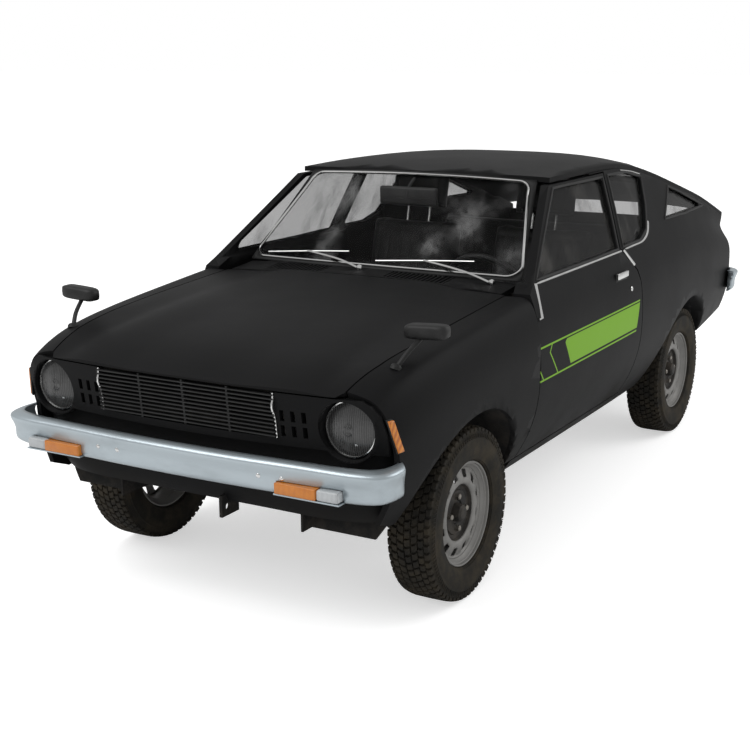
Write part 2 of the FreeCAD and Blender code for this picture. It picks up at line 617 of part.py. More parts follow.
def tail_band(outer, inner):
    """Tail panel from the hatch sill to its lower edge, wrapped round to the sides."""
    wires = []
    for z, lean in ((470, 20), (560, 4), (700, 0), (850, 6), (938, 18)):
        level = z * KZ
        y = TAIL_Y - lean
        edge = side_x(along(1880), min(level, BELT(along(1880)))) - 2
        line = [(0, y), (edge * 0.45, y - 3), (edge * 0.8, y - 12), (edge * 0.94, y - 26), (edge, y - 52)]
        line = [(-x, b, level) for x, b in line[:0:-1]] + [(x, b, level) for x, b in line]
        wires.append(band([(x * (1 - outer / 800), b - outer, c) for x, b, c in line],
                          [(x * (1 - inner / 800), b - inner, c) for x, b, c in line]))
    return loft(wires)


# ---- wheels and what carries them --------------------------------------------------------
def turned_ring(points, x, y, side):
    """A profile of (depth from the wheel's middle, radius), turned about the axle."""
    corners = [V(x + side * a, y, TYRE_RADIUS + r) for a, r in points]
    face = Part.Face(Part.makePolygon(corners + corners[:1]))
    return face.revolve(V(x, y, TYRE_RADIUS), V(1, 0, 0), 360)


def tyre_profile():
    """Half section of the tyre, as (depth, radius)."""
    half, bead, foot = TYRE_WIDTH / 2, RIM_RADIUS - 8, RIM_WIDTH / 2 - 6
    right = [(foot, bead), (foot, RIM_RADIUS + 1), (half - 12, RIM_RADIUS + 4), (half - 2, RIM_RADIUS + 30),
             (half, RIM_RADIUS + 52), (half - 3, TYRE_RADIUS - 34), (half - 12, TYRE_RADIUS - 8),
             (half - 30, TYRE_RADIUS)]
    return right + [(-a, r) for a, r in right[::-1]]


def make_tyre(x, y, side):
    """One tyre."""
    return turned_ring(tyre_profile(), x, y, side)


def make_rim(x, y, side):
    """Pressed steel rim: a barrel and a dished disc with windows round it."""
    half, seat = RIM_WIDTH / 2, RIM_RADIUS - 8
    barrel = turned_ring([(-half, RIM_RADIUS - 28), (half, RIM_RADIUS - 28), (half, RIM_RADIUS),
                          (half - 4, RIM_RADIUS), (half - 6, seat), (-half + 6, seat),
                          (-half + 4, RIM_RADIUS), (-half, RIM_RADIUS)], x, y, side)
    barrel = barrel.cut(rod((x - half - 1, y, TYRE_RADIUS), (x + half + 1, y, TYRE_RADIUS), seat - 14))
    disc = turned_ring([(HUB_FACE, 22), (HUB_FACE + 8, 22), (HUB_FACE + 10, 84), (HUB_FACE + 30, 104),
                        (HUB_FACE + 22, seat - 12), (HUB_FACE + 14, seat - 12), (HUB_FACE + 20, 106),
                        (HUB_FACE, 88)], x, y, side)
    for i in range(RIM_WINDOWS):
        turn = 2 * pi * (i + 0.5) / RIM_WINDOWS
        at_y, at_z = y + 136 * cos(turn), TYRE_RADIUS + 136 * sin(turn)
        disc = disc.cut(rod((x - 100, at_y, at_z), (x + 100, at_y, at_z), 17))
    for i in range(4):
        turn = 2 * pi * (i + 0.5) / 4
        at_y, at_z = y + STUD_CIRCLE * cos(turn), TYRE_RADIUS + STUD_CIRCLE * sin(turn)
        disc = disc.cut(rod((x - 100, at_y, at_z), (x + 100, at_y, at_z), 7))
    return barrel.fuse(disc)


HUB_FACE = 12.0             # wheel disc's mounting face outside the tyre's middle
RIM_WINDOWS = 12
STUD_CIRCLE = 57.0
KINGPIN_LEAN = radians(10.4)
KINGPIN_X = FRONT_TRACK / 2 - 69


def kingpin(z):
    """Place of the steering axis at a height, on the left side."""
    x = KINGPIN_X - (z - TYRE_RADIUS) * sin(KINGPIN_LEAN) / cos(KINGPIN_LEAN)
    return (x, FRONT_AXLE, z)


STRUT_JOIN = TYRE_RADIUS + 345
STRUT_TOP = 846.0 * KZ
STRUT_RADIUS = 20.0
ARM_Z = TYRE_RADIUS - 76


def make_knuckle():
    """Stub axle, upright and the turning lower tube of the spring strut."""
    hub_x = FRONT_TRACK / 2 + HUB_FACE - 0.3
    hub = rod((hub_x - 14, FRONT_AXLE, TYRE_RADIUS), (hub_x, FRONT_AXLE, TYRE_RADIUS), 74)
    nose = rod((hub_x - 2, FRONT_AXLE, TYRE_RADIUS), (hub_x + 28, FRONT_AXLE, TYRE_RADIUS), 20)
    spindle = rod((kingpin(TYRE_RADIUS)[0] - 8, FRONT_AXLE, TYRE_RADIUS),
                  (hub_x, FRONT_AXLE, TYRE_RADIUS), 26)
    tube = rod(kingpin(ARM_Z + 14 + STRUT_RADIUS * sin(KINGPIN_LEAN) + REST), kingpin(STRUT_JOIN),
               STRUT_RADIUS)
    return join([hub, nose, spindle, tube])


def make_front_suspension():
    """Cross member, lower arms, springs on their struts and the strut tops."""
    beam = box(-330, 330, FRONT_AXLE - 45, FRONT_AXLE + 45, ARM_Z - 20, ARM_Z + 70)
    pieces, springs = [beam], []
    for turn in (lambda s: s, mirror):
        end = kingpin(ARM_Z)
        arm = prism([(300, FRONT_AXLE - 30), (end[0] + 12, FRONT_AXLE - 16), (end[0] + 12, FRONT_AXLE + 16),
                     (300, FRONT_AXLE + 30)], "z", ARM_Z - 14, ARM_Z + 14)
        post = box(330, APRON_X, FRONT_AXLE - 40, FRONT_AXLE + 40, ARM_Z - 14, SILL_Z + 24)
        pieces += [turn(arm), turn(post)]
        springs.append(turn(rod(kingpin(STRUT_JOIN + REST), kingpin(STRUT_TOP), 48)))
    return [join(pieces)] + springs


def make_rear_axle():
    """Axle tube with its hubs, the differential and two leaf springs with eyes."""
    hub_x = REAR_TRACK / 2 + HUB_FACE - 0.3
    tube = rod((-hub_x, REAR_AXLE, TYRE_RADIUS), (hub_x, REAR_AXLE, TYRE_RADIUS), 32)
    flanges = [rod((s * (hub_x - 14), REAR_AXLE, TYRE_RADIUS), (s * hub_x, REAR_AXLE, TYRE_RADIUS), 74)
               for s in (-1, 1)]
    noses = [rod((s * (hub_x - 2), REAR_AXLE, TYRE_RADIUS), (s * (hub_x + 28), REAR_AXLE, TYRE_RADIUS), 20)
             for s in (-1, 1)]
    casing = rod((-62, REAR_AXLE, TYRE_RADIUS), (62, REAR_AXLE, TYRE_RADIUS), 100)
    springs = []
    for s in (-1, 1):
        rise = (FLOOR_Z - REST - LEAF_LOW) / SPRING_FRONT ** 2
        line = [(SPRING_X * s - 25, REAR_AXLE + v, LEAF_LOW + rise * v * v) for v in
                (-SPRING_FRONT, -280, 0, 300, SPRING_REAR)]
        low = [(x, y, z - 16) for x, y, z in line]
        springs.append(Part.Face(band(line, low)).extrude(V(50, 0, 0)))
        springs.append(box(SPRING_X * s - 16, SPRING_X * s + 16, REAR_AXLE + SPRING_REAR - 24,
                           REAR_AXLE + SPRING_REAR, line[-1][2] - 10, BOOT_Z - REST))
        springs.append(box(SPRING_X * s - 30, SPRING_X * s + 30, REAR_AXLE - 50, REAR_AXLE + 50,
                           LEAF_LOW - 2, TYRE_RADIUS))
    return [join([tube, casing] + flanges + noses + springs)]


SPRING_X, SPRING_REAR = 400.0, 600.0
LEAF_LOW = TYRE_RADIUS - 38         # top of the leaves at the axle


# ---- floor and interior ------------------------------------------------------------------
FLOOR_Z = 330.0 * KZ
BOOT_Z = 560.0 * KZ
BULKHEAD = along(-700)
SEAT_BACK_Y = along(680)
SPRING_FRONT = REAR_AXLE - SEAT_BACK_Y + 30     # the front eye lies under the floor's end
APRON_X = 376.0
TUNNEL_HALF, TUNNEL_TOP = 110.0, FLOOR_Z + 130


def wing_room():
    """Space between the front wing's inner face and the engine bay."""
    wires = []
    for drawn in FRONT_STATIONS:
        line = [(x - PANEL - 0.3, along(drawn), z) for x, z in front_section(along(drawn))[8:]]
        wires.append(band(line, [(300, y, z) for x, y, z in line]))
    return loft(wires)


def wheelhouse(axle, inner, room):
    """Liner over a wheel: an oval shell from the inner wall out to the side of the body."""
    shell = arch(axle, SHEET, inner, 900).cut(arch(axle, 0.0, inner - 1, 901)).common(room)
    wall = arch(axle, SHEET, inner, inner + SHEET)
    low = box(0, 900, -HALF, HALF, -60, SILL_Z + 24)
    return join([shell, wall]).cut(low)


def make_floor():
    """Cabin floor with its open tunnel and the step up to the boot."""
    wide = side_x(along(0), FLOOR_Z + 10) - SIDE_WALL - 4
    start = BULKHEAD + SHEET
    pan = box(-wide, wide, start, SEAT_BACK_Y, FLOOR_Z, FLOOR_Z + SHEET)
    tunnel = prism([(-TUNNEL_HALF, FLOOR_Z), (-70, TUNNEL_TOP), (70, TUNNEL_TOP), (TUNNEL_HALF, FLOOR_Z)],
                   "y", start, SEAT_BACK_Y)
    hollow = prism([(-TUNNEL_HALF + 12, FLOOR_Z - 1), (-62, TUNNEL_TOP - 9), (62, TUNNEL_TOP - 9),
                    (TUNNEL_HALF - 12, FLOOR_Z - 1)], "y", start - 1, SEAT_BACK_Y + 1)
    step = box(-REAR_WALL_X, REAR_WALL_X, SEAT_BACK_Y, SEAT_BACK_Y + SHEET, FLOOR_Z, BOOT_Z)
    passage = box(-66, 66, SEAT_BACK_Y - 1, SEAT_BACK_Y + SHEET + 1, FLOOR_Z - 1, FLOOR_Z + 90)
    return join([pan, tunnel, step]).cut(hollow).cut(passage).cut(make_doorway()).cut(mirror(make_doorway()))


def make_doorway():
    """Room that the door sweeps through the floor's edge."""
    sweep = box(300, 900, DOOR_FRONT - 30, DOOR_REAR + 30, DOOR_LOW - 20, HEIGHT)
    return side_band(-60, DOOR + GAP).common(sweep)


def make_bulkhead():
    """Wall between the engine bay and the cabin, open over the tunnel and cut to the cowl."""
    edge, rise = WING_Z(BULKHEAD) - PANEL + 4, BONNET_Z(BULKHEAD) - WING_Z(BULKHEAD)
    top = [(x * KX, edge + rise * (1 - (x / 640) ** 2))
           for x in (-640, -450, -300, -150, 0, 150, 300, 450, 640)]
    wall = prism(top + [(640 * KX, FLOOR_Z), (-640 * KX, FLOOR_Z)], "y", BULKHEAD, BULKHEAD + SHEET)
    passage = box(-TUNNEL_HALF + 14, TUNNEL_HALF - 14, BULKHEAD - 2, BULKHEAD + SHEET + 2,
                  FLOOR_Z - 1, TUNNEL_TOP - 9)
    wall = wall.cut(passage)
    for doorway in both(make_doorway()):
        wall = wall.cut(doorway)
    return wall


def make_bay_side():
    """Side of the engine bay: its rail, the spring tower and the front wheelhouse."""
    rail = box(APRON_X - SHEET, APRON_X, along(-1780), BULKHEAD, SILL_Z + 24, BAY_TOP)
    tower = rod(kingpin(2 * TYRE_RADIUS + ARCH_TOP), kingpin(STRUT_TOP + SHEET), 48 + SHEET + 2)
    front = box(0, 900, -HALF, BULKHEAD, 0, HEIGHT)
    side = join([rail, tower, wheelhouse(FRONT_AXLE, APRON_X - SHEET, wing_room())]).common(front)
    strut = rod(kingpin(TYRE_RADIUS), kingpin(STRUT_TOP), 48 + 2)
    post = box(TUNNEL_HALF, APRON_X + 20, FRONT_AXLE - 46, FRONT_AXLE + 46, 0, ARM_Z + 71)
    return side.cut(strut).cut(post)


def make_boot():
    """Boot floor between the rear wheelhouses."""
    start = SEAT_BACK_Y + SHEET
    tray = box(-REAR_WALL_X - SHEET, REAR_WALL_X + SHEET, start, TAIL_Y - 34, BOOT_Z, BOOT_Z + SHEET)
    liner = wheelhouse(REAR_AXLE, REAR_WALL_X, side_band(SIDE_WALL + 0.3, 500))
    return join([tray] + both(liner))


BAY_TOP = 800.0 * KZ
REAR_WALL_X = 490.0
ENGINE = (340.0, 560.0, 520.0)          # width, length, height
EXHAUST_RADIUS, EXHAUST_X = 21.0, 250.0


def make_engine():
    """Engine as one plain block with its gearbox."""
    width, length, height = ENGINE
    block = box(-width / 2, width / 2, FRONT_AXLE - length / 2 + 40, FRONT_AXLE + length / 2 + 40,
                ARM_Z + 70, ARM_Z + 70 + height)
    return block


def make_drive():
    """Gearbox behind the engine and the shaft to the rear axle."""
    start = FRONT_AXLE + ENGINE[1] / 2 + 40
    box_end = BULKHEAD + 300
    gearbox = prism([(-54, ARM_Z + 96), (54, ARM_Z + 96), (44, TUNNEL_TOP - 24), (-44, TUNNEL_TOP - 24)],
                    "y", start, box_end)
    shaft = rod((0, box_end - 20, ARM_Z + 150), (0, REAR_AXLE - 104, TYRE_RADIUS), 30)
    return join([gearbox, shaft])


def make_exhaust():
    """Pipe along the right of the floor, up over the axle, with a silencer."""
    low = FLOOR_Z - EXHAUST_RADIUS - 20
    stops = [(-EXHAUST_X, BULKHEAD + 60, low), (-EXHAUST_X, REAR_AXLE - 330, low),
             (-EXHAUST_X, REAR_AXLE - 120, TYRE_RADIUS + 90),
             (-EXHAUST_X, REAR_AXLE + 120, TYRE_RADIUS + 90),
             (-EXHAUST_X, REAR_AXLE + 260, TYRE_RADIUS + 40), (-EXHAUST_X, TAIL_Y + 10, TYRE_RADIUS + 40)]
    runs = [rod(a, b, EXHAUST_RADIUS) for a, b in zip(stops, stops[1:])]
    knees = [Part.makeSphere(EXHAUST_RADIUS, V(*p)) for p in stops[1:-1]]
    silencer = rod((-EXHAUST_X, REAR_AXLE + 330, TYRE_RADIUS + 40),
                   (-EXHAUST_X, REAR_AXLE + 700, TYRE_RADIUS + 40), 70)
    hangers = [box(-EXHAUST_X - 8, -EXHAUST_X + 8, y, y + 16, low, FLOOR_Z)
               for y in (along(-420), along(300))]
    hangers.append(box(-EXHAUST_X - 8, -EXHAUST_X + 8, REAR_AXLE + 420, REAR_AXLE + 436,
                       TYRE_RADIUS + 60, BOOT_Z))
    return join(runs + knees + [silencer] + hangers)


def make_tank():
    """Fuel tank under the luggage floor."""
    shape = box(-120, SPRING_X - 70, REAR_AXLE + 190, REAR_AXLE + 620, BOOT_Z - 150, BOOT_Z)
    return shape.makeFillet(24, [e for e in shape.Edges if abs(e.Vertexes[0].Z - e.Vertexes[-1].Z) > 1])


SEAT_X, SEAT_Y = 310.0 * KX, along(-190)


def padded_box(length, width, height, radius):
    """A block with rounded edges."""
    shape = Part.makeBox(width, length, height, V(-width / 2, 0, 0))
    return shape.makeFillet(radius, shape.Edges)


def make_front_seat(x):
    """Cushion on its runners, leaning backrest and head restraint on two posts."""
    cushion = padded_box(500, SEAT_WIDTH, 130, 34)
    cushion.rotate(V(0, 0, 0), V(1, 0, 0), -7)
    cushion.translate(V(x, SEAT_Y - 180, FLOOR_Z + 190))
    back = padded_box(110, SEAT_WIDTH, 520, 34)
    back.rotate(V(0, 0, 0), V(1, 0, 0), -14)
    back.translate(V(x, SEAT_Y + 290, FLOOR_Z + 260))
    rest = padded_box(80, 290, 165, 30)
    rest.rotate(V(0, 0, 0), V(1, 0, 0), -14)
    rest.translate(V(x, SEAT_Y + 428, FLOOR_Z + 800))
    lean = radians(14)
    posts = []
    for s in (-55, 55):
        low = V(x + s, SEAT_Y + 345 + sin(lean) * 440, FLOOR_Z + 260 + cos(lean) * 440)
        posts.append(Part.makeCylinder(6, 150, low, V(0, sin(lean), cos(lean))))
    runners = [box(x + s - 14, x + s + 14, SEAT_Y - 150, SEAT_Y + 300, FLOOR_Z + SHEET, FLOOR_Z + 190)
               for s in (-170, 170)]
    return join([cushion, back, rest] + posts + runners)


def make_rear_seat():
    """Rear bench on its base."""
    cushion = padded_box(375, 2 * (REAR_WALL_X - 10), 150, 34)
    cushion.translate(V(0, SEAT_BACK_Y - 380, FLOOR_Z + 150))
    base = box(-REAR_WALL_X + 40, REAR_WALL_X - 40, SEAT_BACK_Y - 350, SEAT_BACK_Y - 10,
               TUNNEL_TOP + REST, FLOOR_Z + 170)
    back = padded_box(110, 2 * (REAR_WALL_X - 10), 470, 34)
    back.rotate(V(0, 0, 0), V(1, 0, 0), -22)
    back.translate(V(0, SEAT_BACK_Y - 25, BOOT_Z + SHEET + 42))
    return join([cushion, base, back])


WHEEL_X, WHEEL_Y, WHEEL_Z, WHEEL_RADIUS = 300.0 * KX, along(-275), 872.0 * KZ, 188.0
COLUMN_TILT = radians(24)
DASH_BACK = along(-440)


def make_dashboard():
    """Fascia across the cabin, hung from the bulkhead, and the steering column."""
    profile = [(BULKHEAD + SHEET, 947 * KZ), (along(-600), 978 * KZ), (along(-470), 972 * KZ),
               (DASH_BACK, 940 * KZ), (along(-455), 800 * KZ), (along(-500), 760 * KZ),
               (BULKHEAD + SHEET, 780 * KZ)]
    fascia = prism(profile, "x", -596 * KX, 596 * KX)
    away = V(0, -cos(COLUMN_TILT), -sin(COLUMN_TILT))
    start = V(WHEEL_X, WHEEL_Y, WHEEL_Z) + away * 62
    column = Part.makeCylinder(30, 330, start, away)
    return join([fascia, column])


def make_steering_wheel():
    """Rim, two spokes and boss, turned about the column."""
    rim = Part.makeTorus(WHEEL_RADIUS - 13, 13)
    boss = Part.makeCylinder(52, 50, V(0, 0, -50))
    stem = Part.makeCylinder(14, 12, V(0, 0, -61))
    spokes = [prism([(s * 30, -16), (s * (WHEEL_RADIUS - 14), -10),
                     (s * (WHEEL_RADIUS - 14), 10), (s * 30, 16)],
                    "z", -14, -4) for s in (-1, 1)]
    wheel = join([rim, boss, stem] + spokes)
    wheel.rotate(V(0, 0, 0), V(1, 0, 0), -(90 - degrees(COLUMN_TILT)))
    wheel.translate(V(WHEEL_X, WHEEL_Y, WHEEL_Z))
    return wheel


# ---- lamps and small fittings -------------------------------------------------------------
def make_headlamp(side):
    """One round headlamp."""
    x = side * LAMP_X
    glass = Part.makeSphere(240, V(x, LAMP_Y + 240 - 16, LAMP_Z))
    glass = glass.common(rod((x, LAMP_Y - 60, LAMP_Z), (x, LAMP_Y + 12, LAMP_Z), LAMP_RADIUS))
    back = rod((x, LAMP_Y + 12, LAMP_Z), (x, LAMP_Y + 50, LAMP_Z), LAMP_WELL - 0.3)
    return join([glass, back])


def make_mirror():
    """Wing mirror: a stalk from the wing's top and a head on it."""
    foot = V(657 * KX, along(-1667), WING_Z(along(-1667)) - 17 * KZ)
    neck = V(692 * KX, along(-1575), 985 * KZ)
    stalk = Part.makeCone(11, 6, (neck - foot).Length, foot, neck - foot)
    base = Part.makeCylinder(17, 16, foot - V(0, 0, 10), neck - foot)
    head = prism([(622 * KX, 984 * KZ), (776 * KX, 990 * KZ), (780 * KX, 1042 * KZ), (625 * KX, 1034 * KZ)],
                 "y", along(-1592), along(-1540), 12)
    head = head.translate(V(10 * KX, 0, -16)) or head
    return join([stalk, base, head])


def on_screen(x, up, lift):
    """Point a little up the windscreen from its lower edge, lifted off the glass."""
    low, high = screen_corners(6 - lift)
    share = abs(x) / SCREEN_FOOT_X
    base = V(x, low[2][1] + (low[4][1] - low[2][1]) * share ** 2,
             low[2][2] + (low[4][2] - low[2][2]) * share ** 2)
    rise = V(0, high[2][1] - low[2][1], high[2][2] - low[2][2])
    return base + rise * (up / rise.Length)


def make_wiper(pivot_x, pivot_y, tip_x):
    """Spindle in the cowl, arm and blade lying near the foot of the screen."""
    ground = BONNET_Z(pivot_y) + (WING_Z(pivot_y) - BONNET_Z(pivot_y)) * (pivot_x / 640 / KX) ** 2
    pivot = rod((pivot_x, pivot_y, ground - 12), (pivot_x, pivot_y, ground + 22), 9)
    tip = on_screen(tip_x, 30, 12)
    heel = on_screen(tip_x + 400, 62, 12)
    blade = Part.makeCylinder(6, (tip - heel).Length, heel, tip - heel)
    mid = (tip + heel) * 0.5 + V(0, -6, 5)
    elbow = V(pivot_x, pivot_y, ground + 18)
    arm = Part.makeCylinder(4.5, (mid - elbow).Length, elbow, mid - elbow)
    return join([pivot, arm, blade])


def make_indicators():
    """Indicator blocks let into the lower face of the front bumper."""
    low, high, face = 392 * KX, 622 * KX, -HALF + 4
    return [box(min(s * low, s * high), max(s * low, s * high), face, face + 46, 532 * KZ, 572 * KZ)
            for s in (-1, 1)]


def make_markers():
    """Side markers that stand proud of the front wings."""
    plate = prism([(along(-1838), 776 * KZ), (along(-1806), 776 * KZ), (along(-1776), 668 * KZ),
                   (along(-1808), 668 * KZ)], "x", 700, 900, 5)
    return both(skin_patch(plate, 8))


def skin_patch(outline, proud):
    """Piece of the front wing's skin, lifted proud, that an outline cuts out."""
    wires = []
    for drawn in FRONT_STATIONS[:5]:
        line = [(x, along(drawn), z) for x, z in front_section(along(drawn))[8:]]
        wires.append(band([(x + proud, y, z) for x, y, z in line], [(x + 0.3, y, z) for x, y, z in line]))
    return loft(wires).common(outline)


def make_tail_lamps():
    """The two tail lamp blocks."""
    lens = tail_band(-14, -0.3)
    low, high = 352 * KX, 612 * KX
    return [lens.common(box(min(s * low, s * high), max(s * low, s * high), 0, HALF, 735 * KZ, 850 * KZ))
            for s in (-1, 1)]


HINGE_X = 360.0


def trim(shape, *others):
    """The largest piece of a shape that is left beside its neighbours."""
    for other in others:
        shape = shape.cut(other)
    return max(shape.Solids, key=lambda s: s.Volume)


def save_body():
    """Build and write the body panels, doors and lids."""
    quarter, sill = make_sides()
    lug_heights = (500 * KZ, 760 * KZ)
    lugs = [box(side_x(DOOR_FRONT, z) - 18, side_x(DOOR_FRONT, z) - 4,
                DOOR_FRONT - GAP - 1, DOOR_FRONT - REST, z - 20, z + 20) for z in lug_heights]
    wing = join([make_front_wing()] + lugs)
    nose = trim(make_nose(), *both(wing))
    valance = trim(make_valance(), nose, *both(wing))
    glass = make_windscreen()
    lugs = [box(x - 25, x + 25, HATCH_FRONT - GAP - 1, HATCH_FRONT - REST,
                roof_z(x, HATCH_FRONT) - 17, roof_z(x, HATCH_FRONT) - 5) for x in (-HINGE_X, HINGE_X)]
    roof = join([trim(make_roof(), glass)] + lugs)
    quarter = trim(quarter, roof)
    tail = trim(tail_band(0, PANEL), roof, *both(quarter))
    lamps = make_indicators()
    hatch, hatch_glass = make_hatch()
    save("quarter_left", quarter)
    save("quarter_right", mirror(quarter))
    save("sills", both(sill))
    save("front_wing_left", wing)
    save("front_wing_right", mirror(wing))
    save("bonnet", make_bonnet())
    edge = COWL_FRONT - GAP + REST
    lugs = [box(x - 25, x + 25, edge, COWL_FRONT + 4, BONNET_Z(edge) - 28, BONNET_Z(edge) - 16)
            for x in (-HINGE_X, HINGE_X)]
    wipers = [make_wiper(-44 * KX, along(-706), -532 * KX), make_wiper(520 * KX, along(-696), 4 * KX)]
    cowl = trim(join([trim(make_cowl(), *both(wing))] + lugs), *wipers)
    save("cowl", cowl)
    save("wipers", wipers)
    save("nose_panel", nose)
    save("grille", make_grille())
    save("valance", valance)
    save("tow_eye", trim(make_tow_eye(), valance))
    save("front_bumper", trim(make_front_bumper(), *lamps, *both(wing)))
    save("rear_bumper", trim(make_rear_bumper(), tail, *both(quarter)))
    save("roof", roof)
    save("hatch", hatch)
    save("hatch_glass", hatch_glass)
    save("windscreen", glass)
    save("tail_panel", tail)
    save("tail_lamps", [trim(lamp, *both(quarter)) for lamp in make_tail_lamps()])
    save("floor", trim(make_floor(), *both(quarter), *both(sill)))
    save("bulkhead", trim(make_bulkhead(), cowl, *both(wing), *both(sill)))
    save("engine_bay", both(trim(make_bay_side(), valance, nose, wing, sill)))
    save("boot_floor", trim(make_boot(), tail, *both(quarter)))
    save("wing_mirrors", both(trim(make_mirror(), wing)))
    save("front_lamps", lamps + make_markers())


def save_fittings():
    """Build and write lamps, seats and the other fittings."""
    save("headlamps", [make_headlamp(-1), make_headlamp(1)])
    save("front_seats", [make_front_seat(SEAT_X), make_front_seat(-SEAT_X)])
    save("rear_seat", make_rear_seat())
    save("dashboard", make_dashboard())
    save("steering_wheel", make_steering_wheel())


def save_running_gear():
    """Build and write the wheels and what carries them."""
    corners = (("front_left", FRONT_TRACK / 2, FRONT_AXLE, 1),
               ("front_right", -FRONT_TRACK / 2, FRONT_AXLE, -1),
               ("rear_left", REAR_TRACK / 2, REAR_AXLE, 1), ("rear_right", -REAR_TRACK / 2, REAR_AXLE, -1))
    for name, x, y, side in corners:
        save("tyre_" + name, make_tyre(x, y, side))
        save("rim_" + name, make_rim(x, y, side))
    knuckle = make_knuckle()
    save("knuckle_left", knuckle)
    save("knuckle_right", mirror(knuckle))
    save("front_suspension", make_front_suspension())
    save("rear_axle", make_rear_axle())
    save("engine", make_engine())
    save("drive_shaft", make_drive())
    save("exhaust", make_exhaust())
    save("fuel_tank", make_tank())


os.makedirs("parts", exist_ok=True)
save_body()
save_fittings()
save_running_gear()
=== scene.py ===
"""Looks of a compact fastback coupe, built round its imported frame."""

import logging
import math
from dataclasses import dataclass
from enum import Enum
from typing import Dict, List, Optional, Sequence, Tuple, Union

import bmesh
import bpy
from mathutils import Matrix, Vector
from mathutils.bvhtree import BVHTree


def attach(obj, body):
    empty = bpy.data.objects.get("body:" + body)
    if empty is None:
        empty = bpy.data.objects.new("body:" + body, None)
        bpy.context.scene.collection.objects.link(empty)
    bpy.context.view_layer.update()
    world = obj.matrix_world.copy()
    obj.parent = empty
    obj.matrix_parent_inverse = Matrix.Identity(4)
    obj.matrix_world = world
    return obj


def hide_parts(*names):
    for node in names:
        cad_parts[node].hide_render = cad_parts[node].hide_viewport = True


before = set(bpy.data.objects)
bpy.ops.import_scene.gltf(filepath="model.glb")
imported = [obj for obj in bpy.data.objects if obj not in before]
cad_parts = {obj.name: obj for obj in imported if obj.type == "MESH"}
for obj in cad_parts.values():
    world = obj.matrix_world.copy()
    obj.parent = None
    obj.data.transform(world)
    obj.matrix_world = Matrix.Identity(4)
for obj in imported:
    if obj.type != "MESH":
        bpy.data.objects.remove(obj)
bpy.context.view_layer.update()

LOG = logging.getLogger("coupe")
MM = 0.001
Colour = Tuple[float, float, float, float]
Point = Tuple[float, float, float]
Flat = Tuple[float, float]
Value = Union[float, int, Sequence[float], "Signal", bpy.types.NodeSocket]


class Side(Enum):
    """Which side of the car a piece is on; the car's left is +X."""

    LEFT = 1
    RIGHT = -1


# ---- node trees ---------------------------------------------------------------------------
class Signal:
    """One output of a node, with arithmetic that adds Math nodes."""

    def __init__(self, maker: "NodeMaker", socket: bpy.types.NodeSocket) -> None:
        """Wrap a socket of the maker's tree."""
        self.maker = maker
        self.socket = socket

    def math(self, operation: str, other: Value = 0.0, swap: bool = False) -> "Signal":
        """Add one Math node.

        Args:
            operation: the Math node's operation.
            other: the second number or signal.
            swap: put the other value first.

        Returns:
            The Math node's output.
        """
        first, second = (other, self) if swap else (self, other)
        return self.maker.signal("ShaderNodeMath", {"operation": operation}, {0: first, 1: second})

    def __add__(self, other: Value) -> "Signal":
        """Return self + other."""
        return self.math("ADD", other)

    def __radd__(self, other: Value) -> "Signal":
        """Return other + self."""
        return self.math("ADD", other)

    def __sub__(self, other: Value) -> "Signal":
        """Return self - other."""
        return self.math("SUBTRACT", other)

    def __rsub__(self, other: Value) -> "Signal":
        """Return other - self."""
        return self.math("SUBTRACT", other, True)

    def __mul__(self, other: Value) -> "Signal":
        """Return self * other."""
        return self.math("MULTIPLY", other)

    def __rmul__(self, other: Value) -> "Signal":
        """Return other * self."""
        return self.math("MULTIPLY", other)

    def __truediv__(self, other: Value) -> "Signal":
        """Return self / other."""
        return self.math("DIVIDE", other)

    def rise(self, low: float, high: float) -> "Signal":
        """Return a smooth step from 0 at low to 1 at high."""
        settings = {"interpolation_type": "SMOOTHSTEP"}
        inputs = {"Value": self, "From Min": low, "From Max": high}
        return self.maker.signal("ShaderNodeMapRange", settings, inputs)

    def within(self, low: float, high: float, soft: float = 0.0006) -> "Signal":
        """Return 1 between two values and 0 outside them."""
        return self.rise(low - soft, low + soft) * (1 - self.rise(high - soft, high + soft))


class NodeMaker:
    """Adds nodes to one tree."""


    def __init__(self, tree: bpy.types.NodeTree) -> None:
        """Keep the tree that nodes are added to."""
        self.tree = tree

    def node(self, kind: str, settings: Optional[Dict] = None,
             inputs: Optional[Dict] = None) -> bpy.types.Node:
        """Add one node.

        Args:
            kind: the node's type.
            settings: attributes that are set first; "stops" fills a colour ramp.
            inputs: values or links by socket name or number.

        Returns:
            The new node.
        """
        node = self.tree.nodes.new(kind)
        for key, value in (settings or {}).items():
            if key == "stops":
                self._fill(node.color_ramp, value)
            else:
                setattr(node, key, value)
        for key, value in (inputs or {}).items():
            if isinstance(value, Signal):
                self.tree.links.new(value.socket, node.inputs[key])
            elif isinstance(value, bpy.types.NodeSocket):
                self.tree.links.new(value, node.inputs[key])
            else:
                node.inputs[key].default_value = value
        return node

    @staticmethod
    def _fill(ramp: bpy.types.ColorRamp, stops: Sequence[Tuple[float, Colour]]) -> None:
        """Give a colour ramp its stops.

        Args:
            ramp: the colour ramp.
            stops: (place, colour) pairs.
        """
        while len(ramp.elements) < len(stops):
            ramp.elements.new(1.0)
        for element, (position, colour) in zip(ramp.elements, stops):
            element.position = position
            element.color = colour

    def signal(self, kind: str, settings: Optional[Dict] = None,
               inputs: Optional[Dict] = None, output: Union[int, str] = 0) -> Signal:
        """Add one node and return one of its outputs."""
        return Signal(self, self.node(kind, settings, inputs).outputs[output])


